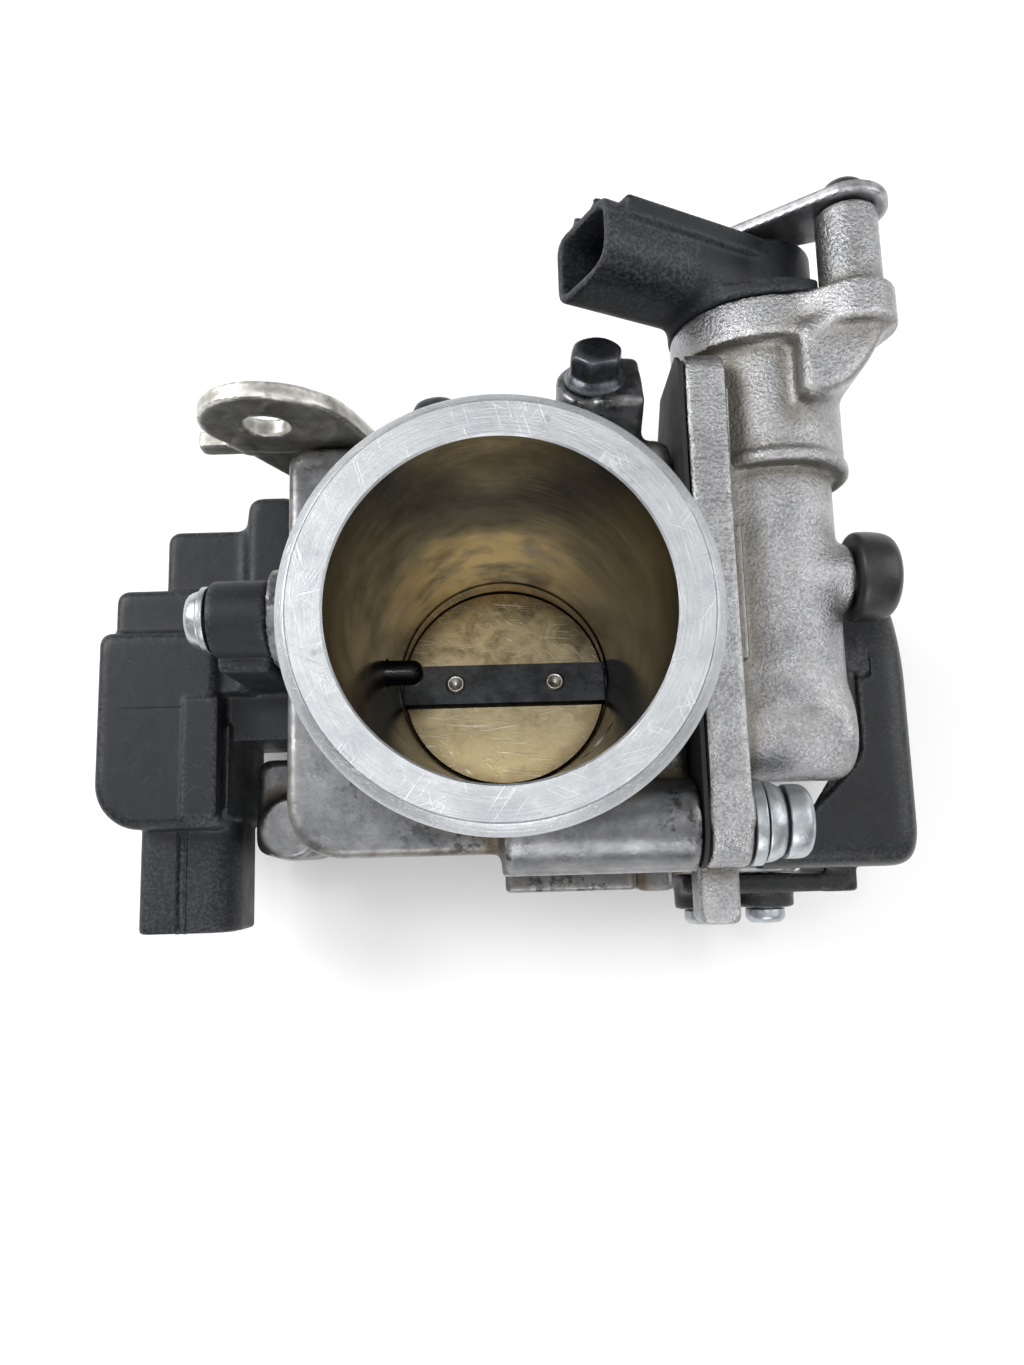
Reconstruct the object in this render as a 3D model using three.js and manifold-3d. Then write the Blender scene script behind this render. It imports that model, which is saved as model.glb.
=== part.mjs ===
// Motorcycle throttle body: one air duct with a sprung butterfly plate, a sensor unit on the left
// end of the plate's shaft, an idle-air valve on the right and a covered cable drum behind it.
// Millimetres. The design frame has its origin where the duct's axis (Z, intake mouth up) meets the
// shaft's axis (X, cable drum at +X). The last lines move it to the bottom centre of the whole part.
import * as THREE from 'three';
import { mergeVertices } from 'three/addons/utils/BufferGeometryUtils.js';
import Module from 'manifold-3d';

// ---------------------------------------------------------------- driving dimensions
const BORE_R = 20;                 // duct radius at the butterfly plate
const THROAT_Z = 5;                // the straight bore ends here and the intake cone starts
const THROAT_R = 20.3;
const MOUTH_Z = 70;                // flat face of the intake mouth
const MOUTH_R = 23.84;
const LIP_FLAT_R = 28.9;
const LIP_R = 30.66;
const SPIGOT_R = 27.5;
const BASE_Z = -32;                // flat end of the outlet spigot
const OUTLET_R = 24.5;
const BLOCK = { x0: -36, x1: 30, y0: -33, y1: 37, z0: -20, z1: 36 };
const GAP = 0.3;                   // clearance between neighbouring pieces

const SHAFT_R = 4.5;
const SHAFT_FLAT = 2.2;            // height of the flat milled on the shaft inside the duct
const PLATE_R = 19.7;
const PLATE_T = 1.5;
const CLOSED_TILT = THREE.MathUtils.degToRad(8);
const PLATE_SCREW_X = [-9.6, 10];
const DRUM_R = 16;

const EAR = { y: 6.4, z: 38 };     // sensor unit's upper screw
const EAR_LOW = { y: 21, z: -17.5 }; // sensor unit's lower screw
const PROBE = { y: -0.2, z: 20, r: 2.35, tip: -14.5 };

const PLATE_X0 = 31.3;             // idle-air housing's flange plate
const PLATE_X1 = 38;
const LOWER_SCREW = { y: -29, z: 38 };
const UPPER_SCREW = { y: 30, z: 10 };
const PORT_IN = { y: -14.5, z: 29 };
const PORT_OUT = { y: 10, z: 27 };
const BYPASS = { x: 25.5, z: -12, r: 2.8 };  // passage down to below the plate
const VALVE = { x: 48, z: 29 };    // idle-air valve's axis, along Y
const POST = { x: 60.3, z: 43.5 };
const CUP_TOP = 58;
const MOTOR_TOP = 72.2;
const NIPPLE = { y: 12, z: 33 };

const BRACKET_Y0 = 37.3;
const BRACKET_Y1 = 40.1;
const BRACKET_HOLE = { x: -37.7, z: 44, r: 3.8 };
const BRACKET_BOLTS = [{ x: -18, z: 11 }, { x: 10, z: 11 }];
const PLUG_LEAN = THREE.MathUtils.degToRad(32);  // the plug bolts lean back from the duct's axis
const PLUG_SEATS = [[-9.7, 37.7, 41], [16.7, 45, 41]];

const HOOD_X0 = 45;                // the cover's front wall reaches further in than its sides
const COVER_X0 = 60;
const COVER_X1 = 74;
const COVER_WALL = 2;
const COVER_BOSS = { y: 22, z: -12 };
const COVER_FOOT_SCREWS_X = [38, 50];
const STOP_SCREW = { x: 58.7, y: -13.5 };

// ---------------------------------------------------------------- solids
const wasm = await Module();
wasm.setup();

function solid(geometry) {
  const bare = geometry.index ? geometry.toNonIndexed() : geometry.clone();
  for (const name of Object.keys(bare.attributes)) {
    if (name !== 'position') bare.deleteAttribute(name);
  }
  const merged = mergeVertices(bare, 1e-4);
  return new wasm.Manifold(new wasm.Mesh({
    numProp: 3,
    vertProperties: new Float32Array(merged.attributes.position.array),
    triVerts: new Uint32Array(merged.index.array),
  }));
}

function geometryOf(body) {
  const mesh = body.getMesh();
  const geometry = new THREE.BufferGeometry();
  geometry.setAttribute('position', new THREE.BufferAttribute(mesh.vertProperties, 3));
  geometry.setIndex(new THREE.BufferAttribute(mesh.triVerts, 1));
  return geometry;
}

const join = (...bodies) => bodies.reduce((whole, body) => whole.add(body));
const cut = (body, ...tools) => tools.reduce((rest, tool) => rest.subtract(tool), body);

// Turns a shape's own Y axis (cylinder, lathe) to the named axis.
const FROM_Y = {
  x: new THREE.Matrix4().makeRotationZ(-Math.PI / 2),
  y: new THREE.Matrix4(),
  z: new THREE.Matrix4().makeRotationX(Math.PI / 2),
};

// A place beside the named axis: (y, z) for x, (x, z) for y, (x, y) for z.
function beside(axis, [a, b], along) {
  if (axis === 'x') return [along, a, b];
  if (axis === 'y') return [a, along, b];
  return [a, b, along];
}

// Enough flats that a round piece's corners stay clear of the hole that it turns in.
function flatsFor(radius) {
  if (radius > 15) return 36;
  if (radius > 9) return 24;
  return radius > 3.5 ? 18 : 12;
}

function rod(axis, radius, from, to, at = [0, 0], endRadius = radius, flats = flatsFor(radius)) {
  const geometry = new THREE.CylinderGeometry(endRadius, radius, to - from, flats);
  geometry.applyMatrix4(FROM_Y[axis]);
  geometry.translate(...beside(axis, at, (from + to) / 2));
  return solid(geometry);
}

function ring(axis, outer, inner, from, to, at = [0, 0]) {
  return cut(rod(axis, outer, from, to, at), rod(axis, inner, from - 1, to + 1, at));
}

// A turned solid from its half profile, [radius, along] from one end of the axis to the other.
function turned(axis, profile, at = [0, 0]) {
  const points = profile.map(([radius, along]) => new THREE.Vector2(radius, along));
  const widest = Math.max(...profile.map(([radius]) => radius));
  const geometry = new THREE.LatheGeometry(points, flatsFor(widest));
  geometry.applyMatrix4(FROM_Y[axis]);
  geometry.translate(...beside(axis, at, 0));
  return solid(geometry);
}

function box(x0, x1, y0, y1, z0, z1) {
  const geometry = new THREE.BoxGeometry(x1 - x0, y1 - y0, z1 - z0);
  geometry.translate((x0 + x1) / 2, (y0 + y1) / 2, (z0 + z1) / 2);
  return solid(geometry);
}

// A closed outline whose corners are [a, b, radius].
function outline(corners) {
  const shape = new THREE.Shape();
  corners.forEach(([a, b, radius = 0], i) => {
    const corner = new THREE.Vector2(a, b);
    const before = new THREE.Vector2(...corners.at(i - 1));
    const after = new THREE.Vector2(...corners[(i + 1) % corners.length]);
    const enter = corner.clone().add(before.sub(corner).setLength(radius));
    const leave = corner.clone().add(after.sub(corner).setLength(radius));
    if (i === 0) shape.moveTo(enter.x, enter.y);
    else shape.lineTo(enter.x, enter.y);
    if (radius > 0) shape.quadraticCurveTo(a, b, leave.x, leave.y);
  });
  shape.closePath();
  return shape;
}

const rectangle = (a0, a1, b0, b1, radius) =>
  outline([[a0, b0, radius], [a1, b0, radius], [a1, b1, radius], [a0, b1, radius]]);

// Two round ends joined by their common tangents.
function strap([a0, b0], r0, [a1, b1], r1) {
  const heading = Math.atan2(b1 - b0, a1 - a0);
  const lean = Math.acos((r0 - r1) / Math.hypot(a1 - a0, b1 - b0));
  const shape = new THREE.Shape();
  shape.absarc(a0, b0, r0, heading + lean, heading - lean, false);
  shape.absarc(a1, b1, r1, heading - lean, heading + lean, false);
  shape.closePath();
  return shape;
}

// An outline pushed along an axis: it is drawn in (y, z) for x, (x, z) for y and (x, y) for z.
function pushed(axis, shape, from, to, curveSegments = 4) {
  const options = { depth: to - from, bevelEnabled: false, curveSegments };
  const geometry = new THREE.ExtrudeGeometry(shape, options);
  const x = new THREE.Vector3(1, 0, 0);
  const y = new THREE.Vector3(0, 1, 0);
  const z = new THREE.Vector3(0, 0, 1);
  const turn = new THREE.Matrix4();
  if (axis === 'x') turn.makeBasis(y, z, x).setPosition(from, 0, 0);
  if (axis === 'y') turn.makeBasis(x, z, y.clone().negate()).setPosition(0, to, 0);
  if (axis === 'z') turn.setPosition(0, 0, from);
  geometry.applyMatrix4(turn);
  return solid(geometry);
}

function placed(body, matrix) {
  const geometry = geometryOf(body);
  geometry.applyMatrix4(matrix);
  return solid(geometry);
}

// From a bolt drawn upright on z = 0 to one of the leaning seats.
function plugPlace(seat) {
  return new THREE.Matrix4().makeRotationX(-PLUG_LEAN).setPosition(...seat);
}

// Turns a solid about the shaft's axis, as the closed plate is turned.
function tilted(body) {
  return placed(body, new THREE.Matrix4().makeRotationX(-CLOSED_TILT));
}

function hexHead(axis, acrossFlats, from, to, at) {
  const radius = acrossFlats / Math.sqrt(3);
  return rod(axis, radius, from, to, at, radius, 6);
}

// ---------------------------------------------------------------- the scene graph
const group = new THREE.Group();
const casting = new THREE.Group();
const throttle = new THREE.Group();
const sensor = new THREE.Group();
const idleAir = new THREE.Group();
const drumSide = new THREE.Group();
casting.add(throttle, sensor, idleAir, drumSide);
group.add(casting);

function finish(color, roughness, metalness) {
  return { color, roughness, metalness };
}

const FINISH = {
  cast: finish(0x8d8f90, 0.55, 0.9),
  brightCast: finish(0xb4b5b5, 0.45, 0.9),
  brass: finish(0xa58c55, 0.4, 1),
  blackSteel: finish(0x1b1c1e, 0.4, 0.7),
  zinc: finish(0xaab3bb, 0.35, 1),
  steel: finish(0x8b8f94, 0.4, 1),
  bronze: finish(0x8a6a3c, 0.45, 1),
  plastic: finish(0x1e2126, 0.6, 0),
  rubber: finish(0x151617, 0.75, 0),
  tin: finish(0xc2c4c2, 0.3, 1),
  gasket: finish(0x3a3d3b, 0.9, 0),
};

function add(parent, name, body, look) {
  const mesh = new THREE.Mesh(geometryOf(body), new THREE.MeshStandardMaterial(FINISH[look]));
  mesh.name = name;
  parent.add(mesh);
}

// ---------------------------------------------------------------- main casting
function mainBody() {
  const { x0, x1, y0, y1, z0, z1 } = BLOCK;
  const block = pushed('z', outline([[x0, y0, 9], [x1, y0, 4], [x1, y1, 4], [x0, y1, 4]]), z0, z1);
  const spigot = turned('z', [
    [0, z1 - 6], [SPIGOT_R, z1 - 6], [SPIGOT_R, 60], [LIP_R, 62.5],
    [LIP_R, MOUTH_Z - 1.2], [LIP_FLAT_R, MOUTH_Z], [0, MOUTH_Z],
  ]);
  const outlet = turned('z', [
    [0, BASE_Z], [OUTLET_R - 1, BASE_Z], [OUTLET_R, BASE_Z + 1],
    [OUTLET_R, BASE_Z + 4], [OUTLET_R - 1, BASE_Z + 5], [OUTLET_R - 1, z0 + 2], [0, z0 + 2],
  ]);
  const raised = [
    // pilot and pad for the sensor unit, and the cast step below it
    box(-38, x0 + 2, -12, 30, -18, 14),
    rod('x', 8, -43, -34),
    rod('x', 8, -37.2, -24, [EAR.y, EAR.z]),
    rod('x', 6.5, -37.2, -30, [EAR_LOW.y, EAR_LOW.z]),
    pushed('z', rectangle(-49, x0 + 2, -32, -13.5, 2), z0, 2),
    rod('z', 6, z0, 7, [-41.5, -27]),
    // shaft boss on the drum side
    rod('x', 9, x1 - 2, 42),
    // lower screw boss, rib and step
    rod('x', 7, -0.5, x1, [LOWER_SCREW.y, LOWER_SCREW.z]),
    box(-0.5, x1, -36, -25, 25, LOWER_SCREW.z),
    box(-0.7, 23, -40, y0 + 2, 0, 15),
    box(24, x1, -40.5, y0 + 2, -3, 12),
    // pad for the upper screw of the idle-air housing
    rod('x', 6.5, 20, x1, [UPPER_SCREW.y, UPPER_SCREW.z]),
    // bosses of the plug bolts
    ...PLUG_SEATS.map((seat) => placed(rod('z', 6.6, -21, 0), plugPlace(seat))),
    placed(box(0, 7.8, -6.5, 6.5, -21, 0), plugPlace(PLUG_SEATS[1])),
    placed(box(6, 7.8, -6.5, 6.5, -12, 1.5), plugPlace(PLUG_SEATS[1])),
    // arms that carry the cover and the idle stop screw
    box(x1 - 2, 54, -37.7, -33.5, -13, 8),
    box(x1 - 2, 61.2, -19, -8, -19, -12.5),
    box(x1 - 2, 57.5, 17, 27, -17.5, -7),
  ];
  const bore = turned('z', [
    [0, BASE_Z - 1], [BORE_R, BASE_Z - 1], [BORE_R, THROAT_Z], [THROAT_R, THROAT_Z],
    [MOUTH_R, MOUTH_Z], [MOUTH_R, MOUTH_Z + 1], [0, MOUTH_Z + 1],
  ]);
  const cuts = [
    bore,
    rod('x', SHAFT_R + GAP, -60, 60),
    rod('x', 6.5, -44, -31),
    rod('x', 6.5, 31, 43),
    rod('x', PROBE.r + 0.35, -39, -15, [PROBE.y, PROBE.z]),
    rod('x', 2.5, -39, -28, [EAR.y, EAR.z]),
    rod('x', 2.5, -39, -29, [EAR_LOW.y, EAR_LOW.z]),
    rod('x', 2.9, 6, 31, [LOWER_SCREW.y, LOWER_SCREW.z]),
    rod('x', 2.5, 23.5, 31, [UPPER_SCREW.y, UPPER_SCREW.z]),
    rod('x', 3.2, 12, 31, [PORT_IN.y, PORT_IN.z]),
    rod('x', 3.2, 24, 31, [PORT_OUT.y, PORT_OUT.z]),
    rod('z', BYPASS.r, BYPASS.z, PORT_OUT.z, [BYPASS.x, PORT_OUT.y]),
    rod('x', BYPASS.r, 12, BYPASS.x + 1, [PORT_OUT.y, BYPASS.z]),
    ...BRACKET_BOLTS.map(({ x, z }) => rod('y', 3.3, 26, 41, [x, z])),
    ...PLUG_SEATS.map((seat) => placed(rod('z', 3.1, -11, 2), plugPlace(seat))),
    ...COVER_FOOT_SCREWS_X.map((x) => rod('y', 2.1, -39, -34.6, [x, -3])),
    rod('z', 2.3, -20, -12, [STOP_SCREW.x, STOP_SCREW.y]),
    rod('x', 2.1, 48, 58, [COVER_BOSS.y, COVER_BOSS.z]),
  ];
  return cut(join(block, spigot, outlet, ...raised), ...cuts);
}

// ---------------------------------------------------------------- shaft, plate and drum
function throttleShaft() {
  const bar = turned('x', [
    [0, -57], [3.5, -57], [3.5, -45], [SHAFT_R, -45], [SHAFT_R, 57], [4, 57],
    [4, 68.6], [2.9, 68.6], [2.9, 71.6], [0, 71.6],
  ]);
  const flat = box(-PLATE_R - 0.2, PLATE_R + 0.2, -6, 6, SHAFT_FLAT, 6);
  const slot = box(-PLATE_R - GAP, PLATE_R + GAP, -6, 6, -PLATE_T / 2 - GAP, PLATE_T / 2 + GAP);
  const holes = PLATE_SCREW_X.map((x) => rod('z', 1.6, -6, 6, [x, 0]));
  return tilted(cut(bar, flat, slot, ...holes));
}

function throttlePlate() {
  const holes = PLATE_SCREW_X.map((x) => rod('z', 1.6, -3, 3, [x, 0]));
  return tilted(cut(rod('z', PLATE_R, -PLATE_T / 2, PLATE_T / 2, [0, 0]), ...holes));
}

function plateScrew(x) {
  const profile = [[0, -4.9], [1.3, -4.9], [1.3, SHAFT_FLAT + GAP], [2, SHAFT_FLAT + GAP],
    [1.7, SHAFT_FLAT + 1.1], [0, SHAFT_FLAT + 1.1]];
  return tilted(turned('z', profile, [x, 0], 12));
}

function throttleDrum() {
  const sheave = turned('x', [
    [0, 57], [7, 57], [7, 61.3], [DRUM_R, 61.3], [DRUM_R, 62.3], [DRUM_R - 2.5, 63.2],
    [DRUM_R - 2.5, 65.8], [DRUM_R, 66.7], [DRUM_R, 67.7], [0, 67.7],
  ]);
  const cutaway = pushed('x', outline([[3, -30], [3, -12, 4], [12, -3, 4], [30, -3], [30, -30]]), 60, 69);
  const nippleSeat = rod('x', 1.9, 62.9, 66.1, [-11.2, 8.9]);
  const lever = pushed('x', strap([0, 0], 8.5, [-13.5, 0], 3), 57, 59.8);
  return cut(join(sheave, lever), cutaway, nippleSeat, rod('x', 4.3, 56, 69));
}

// A round wire wound about the shaft's axis.
function coil(radius, wire, from, to, turns, stepsPerTurn, axisAt, axis) {
  const points = [];
  const steps = Math.round(turns * stepsPerTurn);
  for (let i = 0; i <= steps; i += 1) {
    const angle = (i / stepsPerTurn) * 2 * Math.PI;
    const place = [axisAt[0] + radius * Math.cos(angle), axisAt[1] + radius * Math.sin(angle)];
    points.push(new THREE.Vector3(...beside(axis, place, from + ((to - from) * i) / steps)));
  }
  const section = new THREE.Shape();
  section.absarc(0, 0, wire, 0, 2 * Math.PI, false);
  const extrudePath = new THREE.CatmullRomCurve3(points);
  return solid(new THREE.ExtrudeGeometry(section, { steps, extrudePath, curveSegments: 3 }));
}

function addThrottle() {
  add(throttle, 'throttle_shaft', throttleShaft(), 'blackSteel');
  add(throttle, 'throttle_plate', throttlePlate(), 'brass');
  PLATE_SCREW_X.forEach((x, i) => add(throttle, `plate_screw_${i + 1}`, plateScrew(x), 'tin'));
  const rotorBore = rod('x', 3.8, -60, -44, [0, 0]);
  const magnetSlot = box(-58.5, -54, -5.6, 5.6, 4.6, 6);
  add(throttle, 'sensor_rotor', cut(rod('x', 7.5, -57.6, -45.3), rotorBore, magnetSlot), 'plastic');
  add(throttle, 'throttle_drum', throttleDrum(), 'steel');
  add(throttle, 'drum_washer', ring('x', 6, 3.3, 68.95, 69.7, [0, 0]), 'zinc');
  const nutBore = rod('x', 3.2, 69, 72, [0, 0]);
  add(throttle, 'drum_nut', cut(hexHead('x', 9, 69.95, 71.5, [0, 0]), nutBore), 'zinc');
}

function addShaftSupports() {
  add(casting, 'shaft_bush_left', ring('x', 6.2, 4.75, -42.6, -34.3), 'bronze');
  add(casting, 'shaft_bush_right', ring('x', 6.2, 4.75, 33.9, 41.7), 'bronze');
  add(casting, 'shaft_seal_left', ring('x', 6.2, 4.75, -33.9, -31.4), 'rubber');
  add(casting, 'shaft_seal_right', ring('x', 6.2, 4.75, 31.4, 33.5), 'rubber');
  add(casting, 'return_spring', coil(10.4, 0.9, 44.2, 55.4, 4.25, 10, [0, 0], 'x'), 'steel');
}

// ---------------------------------------------------------------- sensor unit
function sensorUnit() {
  const main = pushed('z', outline([[-74.2, -27, 6], [-52, -27, 3], [-52, 9], [-74.2, 9, 2]]), -15, 20);
  const parts = [
    pushed('z', outline([[-72, 8], [-53, 8], [-53, 17.5], [-72, 17.5, 2]]), -12, 17),
    pushed('z', outline([[-64, 8], [-43, 8], [-43, 30, 2], [-64, 30, 2]]), -10, 13),
    pushed('z', outline([[-48, 8], [-38.4, 8], [-38.4, 35.5, 2], [-46, 35.5, 3]]), -10, 16),
    box(-53, -38.4, -11, 12, -11, 13),
    box(-47.5, -38.4, -2, 12, 12, 36),
    rod('x', 6.2, -47.5, -37.5, [EAR.y, EAR.z]),
    rod('x', 6, -47.5, -38.4, [EAR_LOW.y, EAR_LOW.z]),
    box(-47.5, -38.4, 15, 27, -17, -8),
    pushed('y', outline([[-69.2, -8, 3], [-51, -8, 3], [-51, 9, 5], [-69.2, 9, 3]]), -46, -26),
  ];
  const rotorRoom = join(rod('x', 9.5, -45, -38), rod('x', 8.2, -59, -44));
  const socket = pushed('y', outline([[-67.6, -6.4, 2], [-52.6, -6.4, 2], [-52.6, 7.4, 4], [-67.6, 7.4, 2]]),
    -47, -30);
  const earHoles = [EAR, EAR_LOW].map(({ y, z }) => rod('x', 2.6, -48, -37, [y, z]));
  return cut(join(main, ...parts), rotorRoom, socket, ...earHoles);
}

// Contact blades standing in a row on a shared bar, in a connector socket.
function bladeRow(count, pitch, length) {
  let row = box((-count * pitch) / 2, (count * pitch) / 2, 0, 0.8, -1.2, 1.2);
  for (let i = 0; i < count; i += 1) {
    const x = (i - (count - 1) / 2) * pitch;
    row = row.add(box(x - 0.6, x + 0.6, 0.5, length, -0.4, 0.4));
  }
  return row;
}

function panScrew(at, headX, tipX) {
  return turned('x', [
    [0, headX], [3.6, headX], [4.9, headX + 1.4], [4.9, headX + 2.6], [5.5, headX + 2.6],
    [5.5, headX + 3.8], [2.1, headX + 3.8], [2.1, tipX], [0, tipX],
  ], at);
}

function addSensor() {
  add(sensor, 'sensor_unit', sensorUnit(), 'plastic');
  add(sensor, 'sensor_o_ring', ring('x', 9.2, 8.3, -41.4, -39), 'rubber');
  const flip = new THREE.Matrix4().makeRotationX(Math.PI).setPosition(-60.1, -30.4, 0.5);
  add(sensor, 'sensor_terminals', placed(bladeRow(5, 2.9, 9.5), flip), 'tin');
  const tip = PROBE.tip;
  const probe = turned('x', [
    [0, -38.1], [PROBE.r, -38.1], [PROBE.r, tip - 1.9], [PROBE.r * 0.85, tip - 0.9],
    [PROBE.r * 0.5, tip - 0.2], [0, tip],
  ], [PROBE.y, PROBE.z]);
  add(sensor, 'air_temperature_probe', probe, 'plastic');
  add(sensor, 'sensor_screw_upper', panScrew([EAR.y, EAR.z], -51.7, -29), 'zinc');
  add(sensor, 'sensor_screw_lower', panScrew([EAR_LOW.y, EAR_LOW.z], -51.7, -30), 'zinc');
}

// ---------------------------------------------------------------- bracket
function bracket() {
  const { x, z, r } = BRACKET_HOLE;
  const lobe = rod('y', 11, BRACKET_Y0, BRACKET_Y1, [x, z]);
  const neck = outline([[-41, 24, 3], [-31, 4, 3], [16, 3, 5], [16, 19, 5], [-17.8, 19.5, 3], [-21.4, 39, 3],
    [-26.5, 50.5, 4], [-35, 54.5], [-46, 36]]);
  const finger = pushed('y', rectangle(-51.3, -42, 32, 36.5, 1.6), BRACKET_Y0, BRACKET_Y1);
  const holes = [
    rod('y', r, 36, 42, [x, z]),
    ...BRACKET_BOLTS.map((bolt) => rod('y', 3.4, 36, 42, [bolt.x, bolt.z])),
  ];
  return cut(join(lobe, pushed('y', neck, BRACKET_Y0, BRACKET_Y1), finger), ...holes);
}

// A bolt with its seat at z = 0, its head above and its shank below.
function flangeBolt(hexTop, shank) {
  const flange = turned('z', [
    [0, -shank], [2.8, -shank], [2.8, GAP], [5.4, GAP], [5.4, 1.1], [4.4, 2], [0, 2],
  ]);
  return join(flange, hexHead('z', 8, 1.2, hexTop, [0, 0]));
}

function addBracket() {
  add(casting, 'mounting_bracket', bracket(), 'zinc');
  BRACKET_BOLTS.forEach(({ x, z }, i) => {
    const place = new THREE.Matrix4().makeRotationX(-Math.PI / 2).setPosition(x, BRACKET_Y1, z);
    add(casting, `bracket_bolt_${i + 1}`, placed(flangeBolt(6.6, 12), place), 'blackSteel');
  });
  PLUG_SEATS.forEach((seat, i) => {
    add(casting, `plug_bolt_${i + 1}`, placed(flangeBolt(6.3, 9.5), plugPlace(seat)), 'blackSteel');
  });
}

// ---------------------------------------------------------------- idle-air valve
function flangeOutline() {
  const { y, z } = LOWER_SCREW;
  const shape = new THREE.Shape();
  shape.absarc(y, z, 7, Math.PI / 2, (3 * Math.PI) / 2, false);
  shape.lineTo(-24, 21);
  shape.lineTo(20, 16);
  shape.lineTo(23.6, 9.6);
  shape.absarc(UPPER_SCREW.y, UPPER_SCREW.z, 6.5, Math.PI, 2 * Math.PI, false);
  shape.lineTo(40, 16);
  shape.lineTo(49, 24);
  shape.lineTo(49, 41);
  shape.lineTo(46.5, 44);
  shape.closePath();
  return shape;
}

function idleAirHousing() {
  const { x, z } = VALVE;
  const flange = pushed('x', flangeOutline(), PLATE_X0, PLATE_X1, 10);
  const cupFlange = join(
    rod('y', 16, 51, CUP_TOP, [x, z]),
    pushed('y', outline([[41, 24], [61, 24], [64, 42.7], [41, 42.7]]), 51, CUP_TOP),
    rod('y', 6.8, 51, CUP_TOP, [POST.x, POST.z]),
  );
  const gusset = pushed('z', outline([[50, 52], [64.5, 52], [63.5, 49, 2], [57.5, 40.5], [50, 39]]), 36, 47);
  const parts = [
    pushed('z', rectangle(31.5, 38.4, -45.5, -20, 1.5), 22, 30),
    rod('y', 13, 31, 52, [x, z]),
    rod('y', 13.5, 30, 32.5, [x, z]),
    rod('y', 10.5, -10, 31, [x, z]),
    rod('y', 9, -13, -9, [x, z], 10.5),
    rod('x', 7.8, PLATE_X1 - 1, 56.5, [PORT_IN.y, PORT_IN.z + 1.5]),
    rod('x', 7.8, 56.5, 58.2, [PORT_IN.y, PORT_IN.z + 1.5], 6.2),
    box(PLATE_X1 - 1, x, -14, 50, z - 8, z + 9),
    cupFlange,
    gusset,
    rod('y', 5.2, CUP_TOP - 1, MOTOR_TOP + 0.3, [POST.x, POST.z]),
    rod('x', 5.6, 50, 59, [NIPPLE.y, NIPPLE.z]),
  ];
  const passages = [
    rod('y', 8, 36, CUP_TOP + 1, [x, z]),
    rod('y', 5.5, -12, 37, [x, z]),
    rod('x', 3.5, 30, x, [PORT_IN.y + 4, PORT_IN.z]),
    rod('x', 3.5, 30, x, [PORT_OUT.y, PORT_OUT.z]),
    rod('x', 3.5, 52, 60, [NIPPLE.y, NIPPLE.z]),
    rod('x', 3, 30, 39, [LOWER_SCREW.y, LOWER_SCREW.z]),
    rod('x', 2.7, 30, 39, [UPPER_SCREW.y, UPPER_SCREW.z]),
    rod('y', 2.4, 59, MOTOR_TOP + 1, [POST.x, POST.z]),
  ];
  return cut(join(flange, ...parts), ...passages);
}

// The connector leans from the motor's axis towards the duct, in the XZ plane.
const CONNECTOR_LEAN = Math.atan2(0.47, -0.88);
const CONNECTOR_Y = 65.3;

function alongConnector() {
  const out = new THREE.Vector3(Math.cos(CONNECTOR_LEAN), 0, Math.sin(CONNECTOR_LEAN));
  const up = new THREE.Vector3(0, 1, 0);
  const side = new THREE.Vector3().crossVectors(out, up);
  // local x is across, local y is along the plug's travel and local z is the part's Y
  return new THREE.Matrix4().makeBasis(side, out, up).setPosition(VALVE.x, CONNECTOR_Y, VALVE.z);
}

function idleAirMotor() {
  const barrel = turned('y', [
    [0, 40], [7.4, 40], [7.4, 52.6], [6.4, 52.6], [6.4, 55.4], [7.4, 55.4], [7.4, CUP_TOP + GAP],
    [16.3, CUP_TOP + GAP], [16.3, 61], [9.8, 61.6], [9.8, MOTOR_TOP], [0, MOTOR_TOP],
  ], [VALVE.x, VALVE.z]);
  const shroud = pushed('y', rectangle(-8, 8, -6.2, 6.2, 4), 2, 37.6);
  const socket = pushed('y', rectangle(-6.5, 6.5, -4.7, 4.7, 3), 20, 39);
  const latch = box(7.6, 9, 29, 36.5, -2.5, 2.5);
  const turn = alongConnector();
  const room = rod('y', 3.2, 39, 58, [VALVE.x, VALVE.z]);
  // clear of the post that holds the set plate
  const postRoom = rod('y', 5.6, CUP_TOP, MOTOR_TOP + 1, [POST.x, POST.z]);
  const whole = cut(join(barrel, placed(join(shroud, latch), turn)), placed(socket, turn));
  return cut(whole, room, postRoom);
}

function valvePintle() {
  return turned('y', [
    [0, 12.5], [1.2, 13], [4.4, 22], [4.4, 25], [2.6, 27], [2.6, 48], [0, 48],
  ], [VALVE.x, VALVE.z]);
}

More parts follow.
